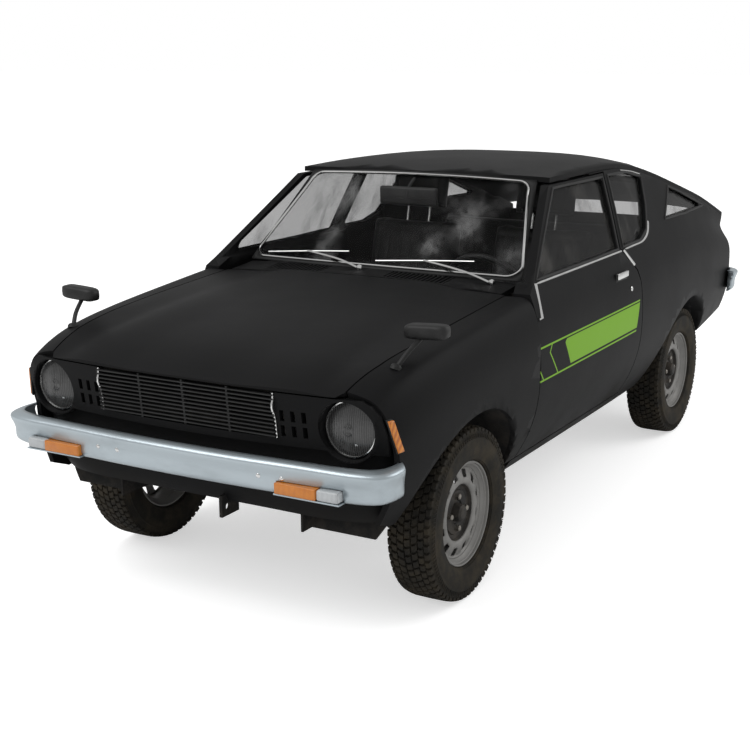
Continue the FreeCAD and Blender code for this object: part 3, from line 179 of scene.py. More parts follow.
class Finish(NodeMaker):
    """Node tree of one material, with the patterns that the finishes share."""

    def __init__(self, name: str) -> None:
        """Start an empty material of that name.

        Args:
            name: the piece's name.
        """
        self.material = bpy.data.materials.new(name)
        self.material.use_nodes = True
        super().__init__(self.material.node_tree)
        self.tree.nodes.clear()
        self.place = self.node("ShaderNodeTexCoord").outputs["Object"]
        split = self.node("ShaderNodeSeparateXYZ", None, {0: self.place})
        self.x, self.y, self.z = (Signal(self, split.outputs[i]) for i in range(3))

    def noise(self, scale: float, detail: float = 3.0, roughness: float = 0.55,
              stretch: Point = (1.0, 1.0, 1.0)) -> Signal:
        """Return a cloud pattern.

        Args:
            scale: features per metre.
            detail: layers of finer noise.
            roughness: strength of the finer layers.
            stretch: how the pattern is scaled along each axis.

        Returns:
            The pattern, about 0.3 to 0.7.
        """
        where = self.node("ShaderNodeMapping", None, {0: self.place, "Scale": stretch}).outputs[0]
        inputs = {"Vector": where, "Scale": scale, "Detail": detail, "Roughness": roughness}
        return self.signal("ShaderNodeTexNoise", None, inputs)

    def grain(self, scale: float) -> Signal:
        """Return a cell pattern, as moulded or hide grain has."""
        return self.signal("ShaderNodeTexVoronoi", None, {"Vector": self.place, "Scale": scale})

    def blend(self, factor: Value, first: Value, second: Value) -> bpy.types.NodeSocket:
        """Return a colour between two colours."""
        settings = {"data_type": "RGBA"}
        return self.node("ShaderNodeMix", settings, {0: factor, 6: first, 7: second}).outputs[2]

    def bump(self, height: Signal, distance: float, strength: float = 1.0) -> bpy.types.NodeSocket:
        """Return a normal that follows a height pattern, with its depth in metres."""
        inputs = {"Height": height, "Distance": distance, "Strength": strength}
        return self.node("ShaderNodeBump", None, inputs).outputs[0]

    def shade(self, **inputs: Value) -> bpy.types.Material:
        """Close the material with one Principled surface.

        Args:
            inputs: socket values, with _ for a space in each name.

        Returns:
            The finished material.
        """
        named = {key.replace("_", " "): value for key, value in inputs.items()}
        surface = self.node("ShaderNodeBsdfPrincipled", None, named)
        self.node("ShaderNodeOutputMaterial", None, {0: surface.outputs[0]})
        return self.material


# ---- finishes -----------------------------------------------------------------------------
def grey(level: float) -> Colour:
    """Return a neutral colour."""
    return (level, level, level, 1.0)


@dataclass(frozen=True)
class Stripe:
    """Green side stripe: two long lines, a solid block and slanted outlines ahead of it."""

    colour: Colour = (0.185, 0.385, 0.028, 1.0)
    line: float = 0.0034
    low: float = 0.670
    high: float = 0.7935
    middle: float = 0.732
    front: float = -0.812
    rear: float = 0.242
    block: float = -0.543
    block_low: float = 0.682
    block_high: float = 0.785
    outlines: Tuple[float, ...] = (-0.686, -0.819)

    def mask(self, finish: Finish) -> Signal:
        """Return 1 on the stripe, read from the height and the length along the car.

        Args:
            finish: the finish that reads it.

        Returns:
            The mask, from 0 to 1.
        """
        y, z = finish.y, finish.z
        up = z - self.middle
        lines = z.within(self.high - self.line, self.high + self.line, 0.0003)
        lines = lines + z.within(self.low - self.line, self.low + self.line, 0.0003)
        corner = (z - (self.block_high - 0.016)).math("MAXIMUM", 0.0)
        start = y + up * 0.6 - corner * corner * 110.0
        solid = start.rise(self.block - 0.0006, self.block + 0.0006)
        solid = solid * z.within(self.block_low, self.block_high)
        lean = y + up * 0.835 - (z - 0.764).math("MAXIMUM", 0.0) * 1.645
        for place in self.outlines:
            edge = lean.within(place - self.line * 1.2, place + self.line * 1.2, 0.0003)
            lines = lines + edge * z.within(self.low, self.high)
        ends = y.rise(self.front - 0.001, self.front)
        ends = ends * (1 - (y - up * 0.333).rise(self.rear - 0.001, self.rear))
        side = finish.x.math("ABSOLUTE").rise(0.728, 0.730)
        return (lines + solid).math("MINIMUM", 1.0) * ends * side


@dataclass(frozen=True)
class SatinPaint:
    """Satin black body paint with faint dust low down, and the stripe where asked."""

    name: str
    stripe: Optional[Stripe] = None
    black: Colour = (0.0085, 0.0085, 0.0088, 1.0)
    dust: Colour = (0.021, 0.019, 0.016, 1.0)

    def material(self) -> bpy.types.Material:
        """Build the material."""
        finish = Finish(self.name)
        cloud = finish.noise(3.0, 5.0)
        speck = finish.noise(60.0, 4.0, 0.7)
        low = (1 - finish.z.rise(0.25, 0.62)) * cloud.rise(0.42, 0.7) * 0.75
        colour = finish.blend(low + speck.rise(0.55, 0.8) * 0.10, self.black, self.dust)
        rough = 0.40 + cloud * 0.12 + low * 0.25
        if self.stripe:
            mask = self.stripe.mask(finish)
            colour = finish.blend(mask, colour, self.stripe.colour)
            rough = rough - mask * 0.06
        peel = finish.noise(420.0, 2.0)
        return finish.shade(Base_Color=colour, Roughness=rough, Specular_IOR_Level=0.06,
                            Normal=finish.bump(peel, 0.00006, 0.35))


@dataclass(frozen=True)
class Bright:
    """Polished or brushed metal."""

    name: str
    colour: Colour
    roughness: float
    metallic: float = 1.0
    streak: float = 0.06

    def material(self) -> bpy.types.Material:
        """Build the material."""
        finish = Finish(self.name)
        haze = finish.noise(9.0, 5.0, 0.6, (0.3, 1.0, 1.0))
        dark = tuple(c * 0.82 for c in self.colour[:3]) + (1.0,)
        colour = finish.blend(haze.rise(0.4, 0.72), self.colour, dark)
        rough = self.roughness + haze * self.streak
        fine = finish.noise(300.0, 2.0)
        return finish.shade(Base_Color=colour, Roughness=rough, Metallic=self.metallic,
                            Normal=finish.bump(fine, 0.00003, 0.3))


@dataclass(frozen=True)
class Moulded:
    """Plastic, rubber, vinyl or undercoat with a grain."""

    name: str
    colour: Colour
    second: Colour
    roughness: float
    grain: float = 700.0
    depth: float = 0.00015
    specular: float = 0.3

    def material(self) -> bpy.types.Material:
        """Build the material."""
        finish = Finish(self.name)
        cloud = finish.noise(14.0, 5.0, 0.65)
        cell = finish.grain(self.grain)
        colour = finish.blend(cloud.rise(0.35, 0.72), self.colour, self.second)
        rough = self.roughness + cloud * 0.16 - 0.08
        return finish.shade(Base_Color=colour, Roughness=rough, Specular_IOR_Level=self.specular,
                            Normal=finish.bump(cell, self.depth, 0.6))


@dataclass(frozen=True)
class DirtyGlass:
    """Clear glass with a film of dust and wiped smears."""

    name: str
    tint: Colour
    film: Colour
    clear: float
    dull: float

    def material(self) -> bpy.types.Material:
        """Build the material."""
        finish = Finish(self.name)
        smear = finish.noise(4.5, 6.0, 0.62, (1.0, 1.0, 0.45))
        dirt = smear.rise(0.46, 0.72) * 0.85
        colour = finish.blend(dirt, self.tint, self.film)
        alpha = self.clear + dirt * (self.dull - self.clear)
        material = finish.shade(Base_Color=colour, Roughness=0.06 + dirt * 0.45, Alpha=alpha,
                                Specular_IOR_Level=0.12)
        material.surface_render_method = "BLENDED"
        return material


@dataclass(frozen=True)
class Lens:
    """Coloured or smoked lamp glass with moulded ribs under a smooth face."""

    name: str
    colour: Colour
    deep: Colour
    ribs: float
    roughness: float = 0.16
    coat: float = 0.4

    def material(self) -> bpy.types.Material:
        """Build the material."""
        finish = Finish(self.name)
        wave = (finish.x * self.ribs).math("SINE") * 0.5 + 0.5
        cloud = finish.noise(26.0, 4.0, 0.6)
        mixed = (wave * 0.55 + cloud * 0.7 - 0.1).rise(0.1, 0.9)
        colour = finish.blend(mixed, self.deep, self.colour)
        return finish.shade(Base_Color=colour, Roughness=self.roughness + cloud * 0.1,
                            Coat_Weight=self.coat, Normal=finish.bump(wave, 0.0006, 0.5))


@dataclass(frozen=True)
class TyreRubber:
    """Brownish black rubber, paler with dust on its tread and shoulder."""

    name: str = "tyre_rubber"
    colour: Colour = (0.0125, 0.0115, 0.0095, 1.0)
    dust: Colour = (0.046, 0.037, 0.024, 1.0)

    def material(self) -> bpy.types.Material:
        """Build the material."""
        finish = Finish(self.name)
        cloud = finish.noise(11.0, 6.0, 0.68)
        fine = finish.noise(140.0, 4.0, 0.7)
        dirt = cloud.rise(0.36, 0.70) * 0.75 + fine.rise(0.5, 0.8) * 0.2
        colour = finish.blend(dirt, self.colour, self.dust)
        return finish.shade(Base_Color=colour, Roughness=0.66 + cloud * 0.25, Specular_IOR_Level=0.2,
                            Normal=finish.bump(fine, 0.0003, 0.6))


# ---- meshes -------------------------------------------------------------------------------
def new_object(name: str, points: Sequence[Point], faces: Sequence[Sequence[int]],
               material: bpy.types.Material, angle: float = 40.0) -> bpy.types.Object:
    """Make a mesh object from points and faces.

    Args:
        name: the piece's name.
        points: places in metres, in the car's frame.
        faces: corner numbers of each face.
        material: what the whole mesh wears.
        angle: edges sharper than this, in degrees, stay crisp.

    Returns:
        The object, linked to the scene.
    """
    mesh = bpy.data.meshes.new(name)
    mesh.from_pydata([tuple(p) for p in points], [], [tuple(f) for f in faces])
    thing = bpy.data.objects.new(name, mesh)
    bpy.context.scene.collection.objects.link(thing)
    mesh.materials.append(material)
    tidy(thing, angle)
    return thing


def tidy(thing: bpy.types.Object, angle: float = 40.0, weld: float = 0.00002) -> None:
    """Merge doubles, turn faces outwards and shade a mesh smooth up to an angle.

    Args:
        thing: the object.
        angle: edges sharper than this, in degrees, stay sharp.
        weld: distance within which points are merged.
    """
    shape = bmesh.new()
    shape.from_mesh(thing.data)
    bmesh.ops.remove_doubles(shape, verts=shape.verts, dist=weld)
    bmesh.ops.recalc_face_normals(shape, faces=shape.faces)
    shape.to_mesh(thing.data)
    shape.free()
    thing.data.shade_smooth()
    thing.data.set_sharp_from_angle(angle=math.radians(angle))


def fit(thing: bpy.types.Object, body: str, slot: str, *nodes: str) -> bpy.types.Object:
    """Let a finished piece ride on a body and hide the nodes that it stands for.

    Args:
        thing: the object.
        body: the body that carries the piece.
        slot: not used.
        nodes: the CAD nodes that are used.

    Returns:
        The finished object.
    """
    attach(thing, body)
    if nodes:
        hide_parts(*nodes)
    LOG.info("%s on %s", thing.name, body)
    return thing


def join(name: str, things: Sequence[bpy.types.Object]) -> bpy.types.Object:
    """Join several objects into one of that name.

    Args:
        name: the piece's name.
        things: the objects that become one.

    Returns:
        The finished object.
    """
    first = things[0]
    if len(things) > 1:
        with bpy.context.temp_override(active_object=first, object=first,
                                       selected_objects=list(things),
                                       selected_editable_objects=list(things)):
            bpy.ops.object.join()
    first.name = name
    first.data.name = name
    return first


def bake(thing: bpy.types.Object, name: str) -> bpy.types.Object:
    """Turn an object with modifiers into a plain mesh object of that name.

    Args:
        thing: the object.
        name: the piece's name.

    Returns:
        The finished object.
    """
    bpy.context.view_layer.update()
    done = thing.evaluated_get(bpy.context.evaluated_depsgraph_get())
    mesh = bpy.data.meshes.new_from_object(done)
    bpy.data.objects.remove(thing)
    plain = bpy.data.objects.new(name, mesh)
    mesh.name = name
    bpy.context.scene.collection.objects.link(plain)
    return plain


def modify(thing: bpy.types.Object, kind: str, **settings: Value) -> bpy.types.Object:
    """Add a modifier with its settings."""
    modifier = thing.modifiers.new(kind.lower(), kind)
    for key, value in settings.items():
        setattr(modifier, key, value)
    return thing


def lathe(name: str, profile: Sequence[Flat], middle: Point, axis: Point,
          material: bpy.types.Material, steps: int = 64, angle: float = 32.0) -> bpy.types.Object:
    """Turn a closed profile of (along the axis, radius) about an axis, in metres.

    Args:
        name: the piece's name.
        profile: (along the axis, radius) pairs.
        middle: where the shape's centre lies.
        axis: the axis of rotation.
        material: its finish.
        steps: how many steps a round takes.
        angle: edges sharper than this, in degrees, stay sharp.

    Returns:
        The finished object.
    """
    along = Vector(axis).normalized()
    across = along.cross(Vector((0, 0, 1))) if abs(along.z) < 0.9 else Vector((1, 0, 0))
    across = (across - along * across.dot(along)).normalized()
    up = across.cross(along)
    points, faces = [], []
    for i in range(steps):
        turn = 2 * math.pi * i / steps
        out = across * math.cos(turn) + up * math.sin(turn)
        points += [Vector(middle) + along * a + out * r for a, r in profile]
    count = len(profile)
    for i in range(steps):
        for j in range(count):
            k, m = (i + 1) % steps, (j + 1) % count
            faces.append((i * count + j, i * count + m, k * count + m, k * count + j))
    return new_object(name, points, faces, material, angle)


def sweep(name: str, path: Sequence[Point], normals: Sequence[Point], section: Sequence[Flat],
          material: bpy.types.Material, closed: bool = False, angle: float = 40.0) -> bpy.types.Object:
    """Carry a section of (across, out) along a path.

    Args:
        name: the piece's name.
        path: places along the middle of the strip.
        normals: the way out of the surface at each place.
        section: corners of the closed section.
        material: what it wears.
        closed: whether the path ends where it starts.
        angle: edges sharper than this stay crisp.

    Returns:
        The strip, with closed ends.
    """
    places, outs = [Vector(p) for p in path], [Vector(n).normalized() for n in normals]
    count, rings = len(section), len(places)
    points, faces = [], []
    for i, (place, out) in enumerate(zip(places, outs)):
        if closed:
            ahead = places[(i + 1) % rings] - places[i - 1]
        else:
            ahead = places[min(i + 1, rings - 1)] - places[max(i - 1, 0)]
        across = ahead.normalized().cross(out).normalized()
        rise = across.cross(ahead.normalized())
        points += [place + across * u + rise * v for u, v in section]
    for i in range(rings if closed else rings - 1):
        k = (i + 1) % rings
        for j in range(count):
            m = (j + 1) % count
            faces.append((i * count + j, i * count + m, k * count + m, k * count + j))
    if not closed:
        faces += [tuple(range(count))[::-1], tuple(range((rings - 1) * count, rings * count))]
    return new_object(name, points, faces, material, angle)


def oval(wide: float, high: float, count: int = 10, lift: float = 0.0) -> List[Flat]:
    """Corners of an oval section."""
    turns = [2 * math.pi * i / count for i in range(count)]
    return [(wide / 2 * math.cos(t), lift + high / 2 * math.sin(t)) for t in turns]


def rounded(size: Point, middle: Point, radius: float, name: str, material: bpy.types.Material,
            segments: int = 3) -> bpy.types.Object:
    """Make a block with rounded edges.

    Args:
        size: width, length and height.
        middle: where the shape's centre lies.
        radius: radius of the edges.
        name: the piece's name.
        material: its finish.
        segments: steps of each rounded edge.

    Returns:
        The finished object.
    """
    shape = bmesh.new()
    bmesh.ops.create_cube(shape, size=1.0)
    for corner in shape.verts:
        corner.co = Vector(middle) + Vector(c * s for c, s in zip(corner.co, size))
    bmesh.ops.bevel(shape, geom=shape.edges[:], offset=radius, segments=segments, profile=0.5,
                    affect="EDGES")
    mesh = bpy.data.meshes.new(name)
    shape.to_mesh(mesh)
    shape.free()
    thing = bpy.data.objects.new(name, mesh)
    bpy.context.scene.collection.objects.link(thing)
    mesh.materials.append(material)
    tidy(thing, 50)
    return thing


def smooth_path(points: Sequence[Point], count: int, closed: bool = False) -> List[Vector]:
    """Return points along a smooth curve through a few places.

    Args:
        points: the points that the path passes.
        count: points of the result.
        closed: whether the path is a loop.

    Returns:
        The points.
    """
    knots = [Vector(p) for p in points]
    last = len(knots) if closed else len(knots) - 1
    line = []
    for i in range(count):
        t = last * i / (count if closed else count - 1)
        k = min(int(t), last - 1)
        f = t - k
        pick = (lambda n: knots[n % len(knots)]) if closed else (
            lambda n: knots[max(0, min(len(knots) - 1, n))])
        a, b, c, d = pick(k - 1), pick(k), pick(k + 1), pick(k + 2)
        line.append(0.5 * ((2 * b) + (c - a) * f + (2 * a - 5 * b + 4 * c - d) * f * f
                           + (3 * b - a - 3 * c + d) * f ** 3))
    return line


class Skin:
    """Surface of some fixed nodes, for laying trim on it."""

    def __init__(self, *nodes: str) -> None:
        """Gather the nodes' faces.

        Args:
            nodes: the CAD nodes that are used.
        """
        points, faces = [], []
        for name in nodes:
            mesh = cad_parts[name].data
            base = len(points)
            points += [v.co.copy() for v in mesh.vertices]
            faces += [[base + i for i in face.vertices] for face in mesh.polygons]
        self.tree = BVHTree.FromPolygons(points, faces)

    def hit(self, start: Point, way: Point) -> Tuple[Vector, Vector]:
        """Return the place and the outward normal where a ray meets the surface.

        Args:
            start: where the ray starts.
            way: the ray's direction.

        Returns:
            The place and the normal there.
        """
        place, normal, _, _ = self.tree.ray_cast(Vector(start), Vector(way))
        if place is None:
            place, normal, _, _ = self.tree.find_nearest(Vector(start))
        if normal.dot(Vector(way)) > 0:
            normal = -normal
        return place, normal

    def side(self, side: Side, y: float, z: float) -> Tuple[Vector, Vector]:
        """Return the outer surface of one side at a length and a height."""
        return self.hit((side.value * 1.2, y, z), (-side.value, 0, 0))

    def front(self, x: float, z: float) -> Tuple[Vector, Vector]:
        """Return the surface as seen from ahead."""
        return self.hit((x, -2.4, z), (0, 1, 0))

    def rear(self, x: float, z: float) -> Tuple[Vector, Vector]:
        """Return the surface as seen from behind."""
        return self.hit((x, 2.4, z), (0, -1, 0))

    def top(self, x: float, y: float) -> Tuple[Vector, Vector]:
        """Return the surface as seen from above."""
        return self.hit((x, y, 2.0), (0, 0, -1))


# ---- repeats by geometry nodes ------------------------------------------------------------
class Repeat(NodeMaker):
    """Geometry tree that sets copies of one part in rows and turns them about a place."""

    def __init__(self, name: str) -> None:
        """Build the tree with its named inputs.

        Args:
            name: the piece's name.
        """
        super().__init__(bpy.data.node_groups.new(name, "GeometryNodeTree"))
        add = self.tree.interface.new_socket
        add("Geometry", in_out="OUTPUT", socket_type="NodeSocketGeometry")
        for title, kind in (("Part", "Object"), ("Count", "Int"), ("Step", "Vector"),
                            ("Turn", "Vector"), ("Middle", "Vector"), ("Material", "Material")):
            add(title, in_out="INPUT", socket_type="NodeSocket" + kind)
        given = self.node("NodeGroupInput").outputs
        part = self.node("GeometryNodeObjectInfo", None, {"Object": given["Part"]}).outputs["Geometry"]
        points = self.node("GeometryNodePoints", None, {"Count": given["Count"]}).outputs[0]
        index = self.node("GeometryNodeInputIndex").outputs[0]
        scaled = {"operation": "SCALE"}
        offset = self.node("ShaderNodeVectorMath", scaled, {0: given["Step"], "Scale": index}).outputs[0]
        turn = self.node("ShaderNodeVectorMath", scaled, {0: given["Turn"], "Scale": index}).outputs[0]
        points = self.node("GeometryNodeSetPosition", None, {0: points, "Position": offset}).outputs[0]
        copies = self.node("GeometryNodeInstanceOnPoints", None,
                           {"Points": points, "Instance": part, "Rotation": turn}).outputs[0]
        placed = self.node("GeometryNodeTransform", None, {0: copies, "Translation": given["Middle"]})
        real = self.node("GeometryNodeRealizeInstances", None, {0: placed.outputs[0]}).outputs[0]
        dressed = self.node("GeometryNodeSetMaterial", None, {0: real, "Material": given["Material"]})
        self.node("NodeGroupOutput", None, {0: dressed.outputs[0]})

    def make(self, name: str, part: bpy.types.Object, count: int, step: Point = (0, 0, 0),
             turn: Point = (0, 0, 0), middle: Point = (0, 0, 0)) -> bpy.types.Object:
        """Repeat a part and return the copies as one plain mesh.

        Args:
            name: the piece's name.
            part: what is repeated; it is used up.
            count: how many copies.
            step: how far each copy lies from the last.
            turn: how far each copy is turned from the last, in radians about each axis.
            middle: where the first copy's origin goes.

        Returns:
            The piece.
        """
        holder = bpy.data.objects.new(name + "_tree", bpy.data.meshes.new(name + "_tree"))
        bpy.context.scene.collection.objects.link(holder)
        modifier = holder.modifiers.new("repeat", "NODES")
        modifier.node_group = self.tree
        values = {"Part": part, "Count": count, "Step": step, "Turn": turn, "Middle": middle,
                  "Material": part.data.materials[0]}
        for socket in self.tree.interface.items_tree:
            if socket.in_out == "INPUT":
                modifier[socket.identifier] = values[socket.name]
        copies = bake(holder, name)
        bpy.data.objects.remove(part)
        return copies


# ---- what the sub-assemblies share ---------------------------------------------------------
@dataclass
class Finishes:
    """Every material of the car, built once."""

    paint: bpy.types.Material
    striped: bpy.types.Material
    chrome: bpy.types.Material
    bumper: bpy.types.Material
    rim: bpy.types.Material
    hub: bpy.types.Material
    bolt: bpy.types.Material
    tyre: bpy.types.Material
    rubber: bpy.types.Material
    plastic: bpy.types.Material
    vinyl: bpy.types.Material
    carpet: bpy.types.Material
    under: bpy.types.Material
    iron: bpy.types.Material
    screen: bpy.types.Material
    side_glass: bpy.types.Material
    lamp: bpy.types.Material
    amber: bpy.types.Material
    red: bpy.types.Material
    white: bpy.types.Material
    mirror: bpy.types.Material
    dial: bpy.types.Material

    @classmethod
    def build(cls) -> "Finishes":
        """Build all the materials."""
        return cls(
            paint=SatinPaint("satin_black_paint").material(),
            striped=SatinPaint("satin_black_with_stripe", Stripe()).material(),
            chrome=Bright("chrome_trim", (0.80, 0.80, 0.79, 1), 0.10).material(),
            bumper=Bright("bumper_silver", (0.47, 0.53, 0.565, 1), 0.26, 0.75, 0.12).material(),
            rim=Bright("rim_steel", (0.24, 0.235, 0.225, 1), 0.42, 0.45, 0.2).material(),
            hub=Moulded("hub_black", (0.014, 0.013, 0.012, 1), (0.05, 0.042, 0.034, 1), 0.6, 260).material(),
            bolt=Bright("plated_bolt", (0.30, 0.28, 0.25, 1), 0.38).material(),
            tyre=TyreRubber().material(),
            rubber=Moulded("seal_rubber", grey(0.010), grey(0.018), 0.55, 500, 0.0001).material(),
            plastic=Moulded("black_plastic", grey(0.011), grey(0.020), 0.45, 900, 0.0001).material(),
            vinyl=Moulded("seat_vinyl", grey(0.014), grey(0.024), 0.46, 520, 0.0003).material(),
            carpet=Moulded("cabin_carpet", grey(0.016), grey(0.034), 0.95, 900, 0.0012, 0.1).material(),
            under=Moulded("underbody_coat", grey(0.012), (0.032, 0.028, 0.024, 1), 0.82, 160, 0.0012,
                          0.15).material(),
            iron=Moulded("engine_iron", grey(0.05), (0.09, 0.075, 0.06, 1), 0.6, 220, 0.0008).material(),
            screen=DirtyGlass("screen_glass", grey(0.03), grey(0.34), 0.08, 0.38).material(),
            side_glass=DirtyGlass("side_glass", grey(0.016), (0.060, 0.058, 0.053, 1), 0.44, 0.72).material(),
            lamp=Lens("lamp_glass", grey(0.060), grey(0.017), 900.0, 0.22, 0.3).material(),
            amber=Lens("amber_lens", (0.62, 0.21, 0.012, 1), (0.34, 0.085, 0.005, 1), 1400.0).material(),
            red=Lens("red_lens", (0.36, 0.012, 0.009, 1), (0.16, 0.005, 0.004, 1), 1400.0).material(),
            white=Lens("clear_lens", (0.50, 0.52, 0.53, 1), (0.27, 0.28, 0.29, 1), 1400.0).material(),
            mirror=Bright("mirror_glass", (0.85, 0.87, 0.88, 1), 0.03, 1.0, 0.02).material(),
            dial=Moulded("dial_face", grey(0.02), grey(0.03), 0.5, 900, 0.0001).material(),
        )


@dataclass
class Assembly:
    """A group of pieces that share the finishes and the repeat tree."""

    finishes: Finishes
    repeat: Repeat

    def copy_of(self, node: str, material: bpy.types.Material, angle: float = 30.0) -> bpy.types.Object:
        """Copy a fixed node's mesh, weld it and shade it smooth.

        Args:
            node: the CAD node.
            material: its finish.
            angle: edges sharper than this, in degrees, stay sharp.

        Returns:
            The finished object.
        """
        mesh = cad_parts[node].data.copy()
        mesh.materials.clear()
        mesh.materials.append(material)
        thing = bpy.data.objects.new(node + "_skin", mesh)
        bpy.context.scene.collection.objects.link(thing)
        tidy(thing, angle, 0.00001)
        return thing


@dataclass
class Panels(Assembly):
    """Painted panels, glass and the parts beneath that keep their fixed shape."""

    def dress(self) -> None:
        """Give every node that isn't rebuilt its finish."""
        f = self.finishes
        skins: Dict[str, Tuple[str, bpy.types.Material, str]] = {}
        for name in ("front_wing_left", "front_wing_right", "roof", "cowl", "nose_panel",
                     "valance", "tail_panel", "sills"):
            skins[name] = ("shell", f.paint, "body_paint")
        for side in ("left", "right"):
            skins["door_" + side] = ("door_" + side, f.striped, "body_paint")
            skins["quarter_" + side] = ("shell", f.paint, "body_paint")
        skins["bonnet"] = ("bonnet", f.paint, "body_paint")
        skins["hatch"] = ("hatch", f.paint, "body_paint")
        for name in ("floor", "boot_floor"):
            skins[name] = ("shell", f.carpet, "underbody")
        for name in ("bulkhead", "engine_bay", "front_suspension", "rear_axle", "tow_eye",
                     "exhaust", "fuel_tank", "drive_shaft"):
            skins[name] = ("shell", f.under, "underbody")
        for side in ("left", "right"):
            skins["knuckle_" + side] = ("upright_" + side, f.under, "underbody")
        skins["engine"] = ("shell", f.iron, "engine_metal")
        skins["dashboard"] = ("shell", f.plastic, "black_plastic")
        skins["steering_wheel"] = ("steering_wheel", f.plastic, "black_plastic")
        skins["windscreen"] = ("shell", f.screen, "window_glass")
        for name in ("hatch_glass", "quarter_glass", "door_glass_left", "door_glass_right"):
            body = {"hatch_glass": "hatch", "quarter_glass": "shell"}.get(name, name.replace("glass_", ""))
            skins[name] = (body, f.side_glass, "window_glass")
        for name, (body, material, slot) in skins.items():
            fit(self.copy_of(name, material), body, slot, name)


